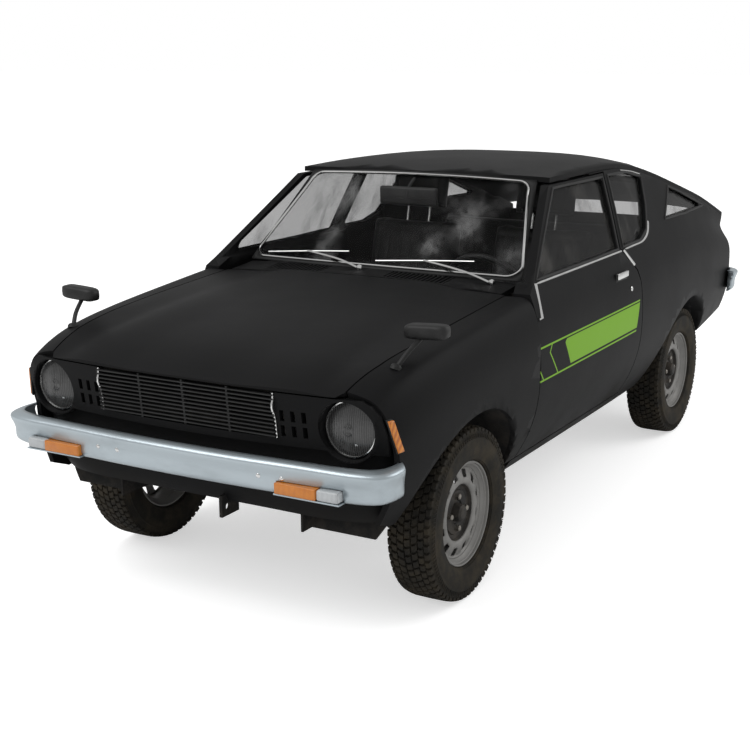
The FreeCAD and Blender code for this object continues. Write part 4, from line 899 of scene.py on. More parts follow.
@dataclass
class Screen(Assembly):
    """Windscreen surround, inner mirror and the two wipers."""

    foot: Point = (0.606, -0.628, 1.001)
    head: Point = (0.512, -0.284, 1.336)
    foot_bow: float = 0.052
    head_bow: float = 0.026
    corner: float = 0.050
    inset: float = 0.012
    trim: float = 0.011

    def point(self, across: float, up: float, lift: float) -> Vector:
        """Return a place on the glass.

        Args:
            across: -1 at the right edge to 1 at the left.
            up: 0 at the foot to 1 at the head.
            lift: distance out of the glass.

        Returns:
            The place in the car's frame.
        """
        bow = 1 - across * across
        low = Vector((across * self.foot[0], self.foot[1] - self.foot_bow * bow, self.foot[2] + 0.008 * bow))
        high = Vector((across * self.head[0], self.head[1] - self.head_bow * bow, self.head[2] + 0.014 * bow))
        run = Vector((0, self.head[1] - self.foot[1], self.head[2] - self.foot[2])).normalized()
        out = Vector((0, -run.z, run.y))
        return low.lerp(high, up) + out * lift

    def outline(self, inset: float, corner: float, lift: float, steps: int = 8) -> List[Vector]:
        """Return a rounded outline of the glass, inset from its edge.

        Args:
            inset: distance from the opening.
            corner: radius of the corners.
            lift: height above the skin.
            steps: how many steps a round takes.

        Returns:
            The points.
        """
        height = 0.478
        places = []
        for ax, ay in ((1, 0), (1, 1), (-1, 1), (-1, 0)):
            half = self.foot[0] * (1 - ay) + self.head[0] * ay
            cx, cy = half - inset - corner, inset + corner if ay == 0 else height - inset - corner
            start = {(1, 0): -90, (1, 1): 0, (-1, 1): 90, (-1, 0): 180}[(ax, ay)]
            for k in range(steps + 1):
                turn = math.radians(start + 90 * k / steps)
                px, py = ax * cx + corner * math.cos(turn), cy + corner * math.sin(turn)
                wide = self.foot[0] + (self.head[0] - self.foot[0]) * py / height
                places.append((px / wide, py / height))
        dense = []
        for i, (a, b) in enumerate(places):
            c, d = places[(i + 1) % len(places)]
            parts = 12 if math.hypot(c - a, d - b) > 0.2 else 1
            dense += [(a + (c - a) * k / parts, b + (d - b) * k / parts) for k in range(parts)]
        return [self.point(a, b, lift) for a, b in dense]

    def dress(self) -> None:
        """Build the surround, the mirror and the wipers."""
        f = self.finishes
        run = Vector((0, self.head[1] - self.foot[1], self.head[2] - self.foot[2])).normalized()
        out = Vector((0, -run.z, run.y))
        path = self.outline(self.inset, self.corner, 0.003)
        half = self.trim / 2
        section = [(-half, -0.002), (half, -0.002), (half, 0.002), (half * 0.5, 0.0055),
                   (-half * 0.5, 0.0055),
                   (-half, 0.002)]
        trim = sweep("screen_chrome", path, [out] * len(path), section, f.chrome, True)
        fit(trim, "shell", "bumper_chrome")
        inner, outer = path, self.outline(-0.004, 0.006, 0.0)
        count = len(inner)
        base = [p - out * 0.002 for p in inner]
        points = base + outer
        faces = [(i, (i + 1) % count, count + (i + 1) % count, count + i) for i in range(count)]
        filler = new_object("screen_seal", points, faces, f.rubber)
        modify(filler, "SOLIDIFY", thickness=0.003, offset=0.0)
        fit(bake(filler, "screen_seal"), "shell", "black_plastic")
        glass = rounded((0.25, 0.012, 0.062), (0, -0.375, 1.262), 0.005, "inner_mirror_glass", f.mirror)
        back = rounded((0.262, 0.022, 0.074), (0, -0.386, 1.262), 0.01, "inner_mirror", f.plastic)
        stem = sweep("inner_mirror_stem", smooth_path([(0, -0.395, 1.265), (0, -0.385, 1.30),
                                                       (0, -0.335, 1.328)], 8),
                     [(0, -1, 0)] * 8, oval(0.012, 0.012), f.plastic)
        fit(join("inner_mirror", [back, stem]), "shell", "black_plastic")
        fit(glass, "shell", "bumper_chrome")
        self.wipers()

    def wipers(self) -> None:
        """Build the spindles, sprung arms and blades low on the glass."""
        f = self.finishes
        pieces, rubbers = [], []
        for number, (pivot, tip) in enumerate((((-0.044, -0.706, 0.999), -0.532),
                                               ((0.520, -0.696, 0.985), 0.004))):
            name = f"wiper_{number}"
            low = self.point(tip / self.foot[0], 0.065, 0.010)
            heel = self.point((tip + 0.40) / (self.foot[0] * 0.97), 0.135, 0.010)
            middle = low.lerp(heel, 0.5) + Vector((0, -0.004, 0.004))
            start = Vector(pivot) + Vector((0, 0, 0.012))
            bend = start.lerp(middle, 0.4) + Vector((0, -0.004, 0.010))
            line = smooth_path([start, bend, middle], 18)
            pieces.append(sweep(name + "_arm", line, [(0, -0.5, 1)] * 18, oval(0.009, 0.005, 8), f.chrome))
            blade = smooth_path([low, low.lerp(heel, 0.5) + Vector((0, -0.001, 0.0015)), heel], 20)
            pieces.append(sweep(name + "_bow", blade, [(0, -0.7, 0.7)] * 20, oval(0.006, 0.006, 8), f.chrome))
            edge = [p + Vector((0, 0.0035, -0.0035)) for p in blade]
            rubbers.append(sweep(name + "_edge", edge, [(0, -0.7, 0.7)] * 20, oval(0.003, 0.007, 6),
                                 f.rubber))
            dome = [(-0.006, 0.0), (-0.006, 0.012), (0.006, 0.012), (0.012, 0.009), (0.016, 0.0)]
            pieces.append(lathe(name + "_cap", dome, start, (0, -0.2, 1), f.chrome, 24))
        fit(join("wiper_arms", pieces), "shell", "bumper_chrome", "wipers")
        fit(join("wiper_rubbers", rubbers), "shell", "black_plastic")


@dataclass
class Nose(Assembly):
    """Grille with its end trims, the two headlamps and the side lamps."""

    half: float = 0.351
    low: float = 0.682
    high: float = 0.832
    lamp: Point = (0.588, -1.822, 0.730)
    lamp_radius: float = 0.088
    slats: int = 11

    def face(self, x: float, z: float) -> float:
        """Return how far forward the nose panel's face stands."""
        spread = abs(x) / 0.730
        return -1.905 + 0.060 * spread ** 2 + (0.10 + 0.16 * spread ** 2) * (0.850 - z)

    def dress(self) -> None:
        """Build the grille, the lamps and the small lenses."""
        self.grille()
        for side in Side:
            self.headlamp(side)
        self.side_lamps()

    def grille(self) -> None:
        """Build the slats, uprights, dark backing and chrome ends."""
        f = self.finishes
        step = (self.high - self.low - 0.016) / (self.slats - 1)
        start = Vector((-self.half, self.face(0, self.low) + 0.004, self.low + 0.008))
        section = [(-0.0028, -0.001), (-0.0020, 0.0032), (0.0020, 0.0032), (0.0028, -0.001), (0.0022, -0.022),
                   (-0.0022, -0.022)]
        line = [(self.half * 2 * i / 4, 0, 0) for i in range(5)]
        slat = sweep("slat", line, [(0, -1, 0)] * 5, section, f.plastic)
        lean = (self.face(0, self.high) - self.face(0, self.low)) / (self.slats - 1)
        pieces = [self.repeat.make("grille_slats", slat, self.slats, (0, lean * 0.9, step), middle=start)]
        path = [(0, self.face(0, z) + 0.006, z) for z in (self.low, 0.72, 0.76, 0.80, self.high)]
        bar = sweep("upright", path, [(0, -1, 0)] * 5, [(-0.004, -0.016), (-0.004, 0.001), (0, 0.003),
                                                        (0.004, 0.001),
                                                        (0.004, -0.016)], f.plastic)
        pieces.append(self.repeat.make("grille_uprights", bar, 3, (0.176, 0, 0), middle=(-0.176, 0, 0)))
        back = rounded((2 * self.half, 0.004, self.high - self.low), (0, -1.868, (self.low + self.high) / 2),
                       0.001, "grille_back", f.rubber, 1)
        tube = lathe("core_tube", [(-0.34, 0.0), (-0.34, 0.0022), (0.34, 0.0022), (0.34, 0.0)],
                     (0, -1.874, self.low + 0.008), (1, 0, 0), f.under, 8)
        pieces.append(self.repeat.make("core_tubes", tube, 24, (0, 0, 0.006)))
        grille = join("grille_bars", pieces)
        fit(grille, "shell", "black_plastic", "grille")
        fit(back, "shell", "black_plastic")
        ends = []
        for side in Side:
            x = side.value * (self.half - 0.003)
            places = [(x, self.face(x, z) - 0.004 - 0.012 * math.exp(-((z - 0.785) / 0.02) ** 2), z)
                      for z in (0.684, 0.70, 0.72, 0.74, 0.76, 0.775, 0.785, 0.795, 0.81, 0.831)]
            ends.append(sweep(f"grille_end_{side.name.lower()}", places, [(0, -1, 0)] * len(places),
                              [(-0.0035, -0.014), (-0.0035, 0.002), (0, 0.004), (0.0035, 0.002),
                               (0.0035, -0.014)],
                              f.chrome))
        fit(join("grille_ends", ends), "shell", "bumper_chrome")

    def headlamp(self, side: Side) -> None:
        """Build one lamp: fluted glass, thin bright ring, dark bowl and a painted highlight on the glass.

        Args:
            side: the side of the car.
        """
        f = self.finishes
        name = side.name.lower()
        x, y, z = self.lamp[0] * side.value, self.lamp[1], self.lamp[2]
        count, rings = 96, 26
        points, faces = [], []
        for i in range(rings + 1):
            r = self.lamp_radius * 0.985 * i / rings
            for k in range(count if i else 1):
                turn = 2 * math.pi * k / count
                px, pz = r * math.cos(turn), r * math.sin(turn)
                dome = 0.016 * (1 - (r / self.lamp_radius) ** 2)
                flute = 0.0011 * math.cos(px * 2 * math.pi / 0.0085) * (1 - (i / rings) ** 6)
                ring = 0.003 * math.exp(-((r - 0.014) / 0.0025) ** 2)
                points.append((x + px, y - 0.004 - dome - flute - ring, z + pz))
        for k in range(count):
            faces.append((0, 1 + k, 1 + (k + 1) % count))
        for i in range(1, rings):
            base, top = 1 + (i - 1) * count, 1 + i * count
            faces += [(base + k, base + (k + 1) % count, top + (k + 1) % count,
                       top + k) for k in range(count)]
        lens = new_object(f"headlamp_glass_{name}", points, faces, f.lamp, 60)
        modify(lens, "SOLIDIFY", thickness=0.003, offset=-1.0)
        lens = bake(lens, f"headlamp_glass_{name}")
        r = self.lamp_radius
        ring = lathe(f"headlamp_ring_{name}", [(-0.030, r + 0.003), (0.003, r + 0.003), (0.007, r + 0.001),
                                               (0.007, r - 0.002), (0.002, r - 0.004), (-0.030, r - 0.004)],
                     (x, y, z), (0, -1, 0), f.chrome, 72)
        bowl = lathe(f"headlamp_bowl_{name}", [(-0.048, 0.001), (-0.048, 0.094), (-0.010, 0.0945),
                                               (-0.010, 0.090),
                                               (-0.040, 0.086), (-0.040, 0.001)], (x, y, z), (0, -1, 0),
                     f.rubber, 48)
        # Painted highlight: a small pale disc on the glass at the lower right of each lamp stands in for a
        # reflection. Both lamps get the same offset.
        spot = lathe(f"pilot_lamp_{name}", [(-0.004, 0.0), (-0.004, 0.007), (0.002, 0.006), (0.004, 0.0)],
                     (x + 0.024, y - 0.012, z - 0.042), (0, -1, 0), f.white, 20)
        fit(lens, "shell", "lamp_glass", *(["headlamps"] if side is Side.LEFT else []))
        fit(ring, "shell", "bumper_chrome")
        fit(bowl, "shell", "black_plastic")
        fit(spot, "shell", "lamp_glass")

    def side_lamps(self) -> None:
        """Build the indicators in the bumper and the markers on the wings."""
        f = self.finishes
        skin = Skin("front_lamps")
        lenses, whites, trays, rims = [], [], [], []
        for side in Side:
            s, name = side.value, side.name.lower()
            lenses.append(rounded((0.150, 0.040, 0.036), (s * 0.468, -1.9445, 0.552), 0.004,
                                  "amber_" + name, f.amber))
            whites.append(rounded((0.078, 0.040, 0.036), (s * 0.582, -1.9425, 0.552), 0.008,
                                  "white_" + name, f.white))
            trays.append(rounded((0.236, 0.036, 0.0045), (s * 0.507, -1.9445, 0.5315), 0.001,
                                 "tray_" + name, f.bumper))
            corners = ((-1.832, 0.775), (-1.808, 0.775), (-1.777, 0.669), (-1.806, 0.669))
            middle = Vector((0, sum(c[0] for c in corners) / 4, sum(c[1] for c in corners) / 4))
            for grow, lift, group, material in ((1.0, 0.0, lenses, f.amber), (1.07, -0.004, rims, f.rubber)):
                points = []
                for drop in (0.006, 0.0):
                    shrink = grow * (0.93 if drop == 0.0 else 1.0)
                    for y, z in corners:
                        cy, cz = middle.y + (y - middle.y) * shrink, middle.z + (z - middle.z) * shrink
                        place, _ = skin.side(side, middle.y + (cy - middle.y) * 0.9,
                                             middle.z + (cz - middle.z) * 0.9)
                        points.append((place.x + s * (lift - drop), cy, cz))
                faces = [(0, 1, 2, 3), (4, 5, 6, 7)] + [(i, (i + 1) % 4, 4 + (i + 1) % 4,
                                                         4 + i) for i in range(4)]
                lens = new_object(f"marker_{name}_{len(group)}", points, faces, material)
                modify(lens, "BEVEL", width=0.002, segments=2)
                group.append(bake(lens, lens.name))
        fit(join("amber_lenses", lenses), "shell", "amber_lens", "front_lamps")
        fit(join("clear_lenses", whites), "shell", "lamp_glass")
        fit(join("indicator_trays", trays), "shell", "bumper_chrome")
        fit(join("marker_rims", rims), "shell", "black_plastic")


@dataclass
class Bumpers(Assembly):
    """Silver bumpers with their bolt heads."""

    bolt_places: Tuple[Point, ...] = ((-0.312, -1.9, 0.580), (-0.228, -1.9, 0.581), (0.329, -1.9, 0.579),
                                      (0.413, -1.9, 0.580))

    def dress(self) -> None:
        """Copy the two blades and set the bolts on them."""
        f = self.finishes
        for node in ("front_bumper", "rear_bumper"):
            fit(self.copy_of(node, f.bumper, 34), "shell", "bumper_chrome", node)
        for node, way in (("front_bumper", -1), ("rear_bumper", 1)):
            skin, heads = Skin(node), []
            for i, (x, _, z) in enumerate(self.bolt_places):
                z += 0.054 if way == 1 else 0.0
                place, normal = skin.front(x, z) if way == -1 else skin.rear(x, z)
                dome = [(-0.002, 0.0), (-0.002, 0.008), (0.001, 0.0078), (0.0034, 0.005), (0.0042, 0.0)]
                heads.append(lathe(f"{node}_bolt_{i}", dome, place, normal, f.chrome, 20))
            fit(join(node + "_bolts", heads), "shell", "bumper_chrome")


@dataclass
class Flank(Assembly):
    """One side's bright strips, seals, handle and the trim inside its door."""

    side: Side = Side.LEFT
    window: Tuple[Flat, ...] = ((-0.706, 1.0259), (0.130, 1.0259), (0.212, 1.308), (-0.288, 1.308))
    quarter: Tuple[Flat, ...] = ((0.196, 1.0279), (0.420, 1.0299), (0.528, 1.0619), (0.610, 1.1559),
                                 (0.672, 1.2704), (0.500, 1.3025), (0.280, 1.310))
    rear: Tuple[Flat, ...] = ((0.818, 1.0699), (1.516, 1.0561), (1.270, 1.1267), (1.026, 1.1952))

    @property
    def name(self) -> str:
        """Return left or right."""
        return self.side.name.lower()

    def on_skin(self, skin: Skin, places: Sequence[Flat], lift: float) -> Tuple[List[Vector], List[Vector]]:
        """Lay (length, height) places on the side's skin, lifted off it."""
        hits = [skin.side(self.side, y, z) for y, z in places]
        return [p + n * lift for p, n in hits], [n for _, n in hits]

    def strip(self, name: str, skin: Skin, places: Sequence[Flat], wide: float,
              material: bpy.types.Material, closed: bool = False, high: float = 0.006,
              lift: float = 0.0) -> bpy.types.Object:
        """Run a rounded strip along the skin.

        Args:
            name: the piece's name.
            skin: the surface that it follows.
            places: the route.
            wide: its width.
            material: its finish.
            closed: whether the path is a loop.
            high: its height.
            lift: height above the skin.

        Returns:
            The finished object.
        """
        path, normals = self.on_skin(skin, places, lift)
        out = Vector((self.side.value, 0, 0.15)).normalized()
        normals = [n if n.dot(out) > 0.5 else out for n in normals]
        half = wide / 2
        section = [(-half, -high * 0.5), (half, -high * 0.5), (half, high * 0.35), (half * 0.5, high),
                   (-half * 0.5, high), (-half, high * 0.35)]
        return sweep(name, path, normals, section, material, closed)

    def dress(self) -> None:
        """Build the strips, seals, handle and door card."""
        f, door = self.finishes, "door_" + self.name
        panel, wall = Skin(door), Skin("quarter_" + self.name, "roof")
        belt = [(-0.790 + 0.942 * i / 30, 1.0135) for i in range(31)]
        fit(self.strip("belt_strip_" + self.name, panel, belt, 0.013, f.chrome), door, "bumper_chrome")
        bend = [(v.y, v.z) for v in smooth_path(
            [(0, 0.166, 1.0145), (0, 0.30, 1.0165), (0, 0.42, 1.018), (0, 0.50, 1.034), (0, 0.548, 1.060),
             (0, 0.572, 1.086)], 26)]
        pieces = [self.strip("quarter_strip_" + self.name, wall, bend, 0.013, f.chrome)]
        top = [(v.y, v.z) for v in smooth_path([(0, 0.436, 1.319), (0, 0.56, 1.304), (0, 0.668, 1.283)], 12)]
        pieces.append(self.strip("quarter_bead_" + self.name, wall, top, 0.007, f.chrome, False, 0.004))
        fit(join("quarter_strips_" + self.name, pieces), "shell", "bumper_chrome")
        self.seals(panel, wall)
        self.handle(panel)
        self.card()

    def seals(self, panel: Skin, wall: Skin) -> None:
        """Build the rubber round the three windows.

        Args:
            panel: the skin of the door.
            wall: the skin of the quarter panel.
        """
        f = self.finishes
        rings = []
        for name, corners, skin, grow in (("door", self.window, panel, 0.004),
                                          ("quarter", self.quarter, wall, 0.004),
                                          ("rear", self.rear, wall, 0.004)):
            middle = (sum(c[0] for c in corners) / len(corners), sum(c[1] for c in corners) / len(corners))
            line = []
            for i, (y, z) in enumerate(corners):
                ny, nz = corners[(i + 1) % len(corners)]
                steps = max(2, int(math.hypot(ny - y, nz - z) / 0.03))
                line += [(y + (ny - y) * k / steps, z + (nz - z) * k / steps) for k in range(steps)]
            grown = []
            for y, z in line:
                away = Vector((y - middle[0], z - middle[1])).normalized() * grow
                grown.append((y + away.x, z + away.y))
            rings.append((name, self.strip(f"{name}_window_seal_{self.name}", skin, grown, 0.011, f.rubber,
                                           True,
                                           0.004)))
        fit(rings[0][1], "door_" + self.name, "black_plastic")
        fit(join("quarter_seals_" + self.name, [r[1] for r in rings[1:]]), "shell", "black_plastic")

    def handle(self, panel: Skin) -> None:
        """Build the flap handle in its black recess, and the lock.

        Args:
            panel: the skin of the door.
        """
        f, s = self.finishes, self.side.value
        x = panel.side(self.side, 0.070, 0.920)[0].x
        flap = rounded((0.010, 0.118, 0.026), (x + s * 0.008, 0.072, 0.928), 0.004,
                       "handle_flap_" + self.name, f.chrome)
        cup = rounded((0.005, 0.130, 0.046), (x + s * 0.0015, 0.072, 0.918), 0.002, "handle_cup_" + self.name,
                      f.rubber)
        barrel = lathe("door_lock_" + self.name, [(-0.003, 0.0), (-0.003, 0.0105), (0.004, 0.0105),
                                                  (0.006, 0.008),
                                                  (0.006, 0.0)], panel.side(self.side, 0.161, 0.858)[0],
                       (s, 0, 0.1), f.chrome, 24)
        fit(join("door_handle_" + self.name, [flap, barrel]), "door_" + self.name, "bumper_chrome")
        fit(cup, "door_" + self.name, "black_plastic")

    def card(self) -> None:
        """Build the trim inside the door: card, armrest, winder and pull."""
        f, s, door = self.finishes, self.side.value, "door_" + self.name
        x = s * 0.660
        rest = rounded((0.050, 0.300, 0.040), (s * 0.662, -0.15, 0.760), 0.015, "armrest_" + self.name,
                       f.vinyl)
        beads = [rounded((0.008, 0.86, 0.010), (s * 0.683, -0.26, z), 0.003, f"bead_{i}", f.vinyl)
                 for i, z in enumerate((0.70, 0.82, 0.90))]
        fit(join("armrest_" + self.name, [rest] + beads), door, "seat_vinyl")
        knob = lathe("winder_knob_" + self.name, [(-0.004, 0.0), (-0.004, 0.010), (0.022, 0.009),
                                                  (0.026, 0.0)],
                     (x, -0.50, 0.735), (-s, 0, 0), f.plastic, 20)
        arm = sweep("winder_arm_" + self.name, [(s * 0.668, -0.40, 0.80), (s * 0.664, -0.45, 0.77),
                                                (s * 0.664, -0.50, 0.735)],
                    [(-s, 0, 0)] * 3, oval(0.014, 0.007), f.chrome)
        pull = rounded((0.012, 0.09, 0.022), (s * 0.668, 0.12, 0.84), 0.004, "door_pull_" + self.name,
                       f.chrome)
        fit(join("winder_" + self.name, [arm, pull]), door, "bumper_chrome")
        fit(knob, door, "black_plastic")


@dataclass
class Wheel(Assembly):
    """One wheel: chunky tyre, pressed rim with windows, and its dark middle."""

    corner: str = "front_left"
    middle: Point = (0.640, -1.268, 0.305)
    radius: float = 0.305
    half: float = 0.085
    rim: float = 0.183
    blocks: int = 62
    windows: int = 12

    @property
    def side(self) -> int:
        """Return 1 on the left and -1 on the right."""
        return 1 if self.middle[0] > 0 else -1

    def crown(self, x: float) -> float:
        """Return the tread's outer radius at a place across it."""
        return self.radius - 0.0008 - 0.35 * max(0.0, abs(x) - 0.050) ** 2 / 0.05 - 0.25 * x * x

    def turned(self, name: str, profile: Sequence[Flat], material: bpy.types.Material, steps: int = 96,
               angle: float = 32.0) -> bpy.types.Object:
        """Turn a profile about the axle, with outwards as its first number."""
        return lathe(name, profile, self.middle, (self.side, 0, 0), material, steps, angle)

    def dress(self) -> None:
        """Build the tyre and the rim."""
        self.tyre()
        self.steel()
        self.centre()

    def tyre(self) -> None:
        """Build the carcass, its tread blocks and its shoulder bars."""
        f, body = self.finishes, "wheel_" + self.corner
        deep = 0.0085
        tread = [(x * MM, self.crown(x * MM) - deep) for x in (66, 52, 40, 26, 12, 0)]
        wall = [(0.0565, 0.176), (0.0585, 0.184), (0.070, 0.187), (0.0715, 0.190), (0.0745, 0.1905),
                (0.0785, 0.204), (0.0825, 0.222), (0.0842, 0.236), (0.0842, 0.250), (0.0828, 0.262),
                (0.0834, 0.2645), (0.0812, 0.2665), (0.0790, 0.276), (0.0745, 0.2875)]
        half = wall + tread
        profile = half + [(-a, r) for a, r in half[-2::-1]]
        pieces = [self.turned("tyre", profile, f.tyre)]
        pitch = 2 * math.pi / self.blocks
        length = pitch * self.radius
        rows = ((0.0, 0.021, 0.78, 0.0, 0.25), (0.0255, 0.022, 0.80, 0.5, 0.45),
                (-0.0255, 0.022, 0.80, 0.5, -0.45),
                (0.0490, 0.019, 0.78, 0.15, 0.2), (-0.0490, 0.019, 0.78, 0.15, -0.2),
                (0.0685, 0.015, 0.70, 0.6, 0.0), (-0.0685, 0.015, 0.70, 0.6, 0.0))
        for number, (x, wide, share, phase, skew) in enumerate(rows):
            block = self.block(x, wide, length * share, skew, phase * length)
            pieces.append(self.repeat.make(f"tread_{number}", block, self.blocks, turn=(pitch, 0, 0),
                                           middle=self.middle))
        bar_x = self.side * 0.0822
        bar = rounded((0.0022, 0.0035, 0.016), (bar_x, 0, 0.2745), 0.0008, "bar", f.tyre, 1)
        pieces.append(self.repeat.make("shoulder_bars", bar, 120, turn=(2 * math.pi / 120, 0, 0),
                                       middle=self.middle))
        fit(join("tyre_" + self.corner + "_tread", pieces), body, "tyre", "tyre_" + self.corner)

    def block(self, x: float, wide: float, length: float, skew: float, shift: float) -> bpy.types.Object:
        """Make one tread block at the top of the tyre, about the axle's own origin.

        Args:
            x: distance round the tread.
            wide: its width.
            length: its length.
            skew: its slant.
            shift: its offset.

        Returns:
            The finished object.
        """
        outline = []
        for u, v in ((-1, -1), (-0.3, -1.18), (0.35, -1.12), (1, -0.9), (1, 0.9), (0.35, 0.72),
                     (-0.3, 0.66), (-1, 0.9)):
            outline.append((x + u * wide / 2, v * length / 2 + u * skew * wide / 2 + shift))
        centre_y = sum(p[1] for p in outline) / len(outline)
        points = []
        for drop, share in ((0.012, 1.03), (0.0016, 1.0), (0.0, 0.90)):
            for px, py in outline:
                qx, qy = x + (px - x) * share, centre_y + (py - centre_y) * share
                radius = self.crown(qx) - drop
                points.append((qx * self.side, radius * math.sin(qy / radius),
                               radius * math.cos(qy / radius)))
        count = len(outline)
        faces = [tuple(range(2 * count, 3 * count))]
        for ring in range(2):
            for j in range(count):
                m = (j + 1) % count
                faces.append((ring * count + j, ring * count + m, (ring + 1) * count + m,
                              (ring + 1) * count + j))
        faces.append(tuple(range(count))[::-1])
        return new_object("block", points, faces, self.finishes.tyre, 30)

    def steel(self) -> None:
        """Build the barrel and the dished disc with rounded windows between its ribs."""
        f, body = self.finishes, "wheel_" + self.corner
        barrel = [(0.0640, 0.1828), (0.0655, 0.1800), (0.0640, 0.1765), (0.0560, 0.1745), (0.0540, 0.1705),
                  (0.0480, 0.1680), (0.0400, 0.1600), (0.0100, 0.1560), (-0.0400, 0.1560), (-0.0540, 0.1700),
                  (-0.0640, 0.1765), (-0.0640, 0.1828), (-0.0590, 0.1760), (-0.0560, 0.1735),
                  (-0.0420, 0.1600),
                  (0.0100, 0.1600), (0.0420, 0.1640), (0.0560, 0.1790)]
        pieces = [self.turned("barrel", barrel, f.rim, 96)]
        stations = ((0.0990, 0.0350), (0.1020, 0.0400), (0.1080, 0.0435), (0.1150, 0.0445), (0.1240, 0.0425),
                    (0.1290, 0.0405), (0.1380, 0.0370), (0.1460, 0.0340), (0.1500, 0.0325), (0.1560, 0.0345),
                    (0.1592, 0.0390))
        per, points, faces = 10, [], []
        around = self.windows * per
        for radius, depth in stations:
            for k in range(around):
                turn = 2 * math.pi * k / around
                sector = math.cos(self.windows * turn)
                lift = 0.0025 * sector if 0.120 < radius < 0.152 else 0.0
                points.append(Vector(self.middle) + Vector((self.side * (depth + lift),
                                                            radius * math.sin(turn),
                                                            radius * math.cos(turn))))
        for i in range(len(stations) - 1):
            for k in range(around):
                inside = stations[i][0] > 0.1235 and stations[i + 1][0] < 0.1505
                if inside and k % per in (3, 4, 5, 6):
                    continue
                m = (k + 1) % around
                faces.append((i * around + k, i * around + m, (i + 1) * around + m, (i + 1) * around + k))
        disc = new_object("disc", points, faces, f.rim, 60)
        modify(disc, "SOLIDIFY", thickness=0.0045, offset=0.0)
        modify(disc, "SUBSURF", levels=1, render_levels=1)
        pieces.append(bake(disc, "disc"))
        fit(join("rim_" + self.corner + "_steel", pieces), body, "rim_steel", "rim_" + self.corner)

    def centre(self) -> None:
        """Build the dark hub, its studs and nuts, and the grease cap."""
        f, body = self.finishes, "wheel_" + self.corner
        plate = [(0.0140, 0.0), (0.0140, 0.100), (0.0360, 0.1005), (0.0360, 0.0975), (0.0260, 0.0930),
                 (0.0235, 0.0800), (0.0285, 0.0760), (0.0290, 0.0440), (0.0240, 0.0400), (0.0240, 0.0330),
                 (0.0400, 0.0310), (0.0500, 0.0290), (0.0560, 0.0210), (0.0575, 0.0)]
        fit(self.turned("hub_" + self.corner, plate, f.hub, 64), body, "rim_steel")
        side = self.side
        nut = lathe("nut", [(0.020, 0.0), (0.026, 0.0125), (0.0300, 0.0115), (0.0400, 0.0105),
                            (0.0430, 0.0080),
                            (0.0445, 0.0)], (0, 0, 0.057), (side, 0, 0), f.bolt, 6, 20)
        nuts = self.repeat.make("wheel_nuts_" + self.corner, nut, 4, turn=(math.pi / 2, 0, 0),
                                middle=self.middle)
        fit(nuts, body, "rim_steel")


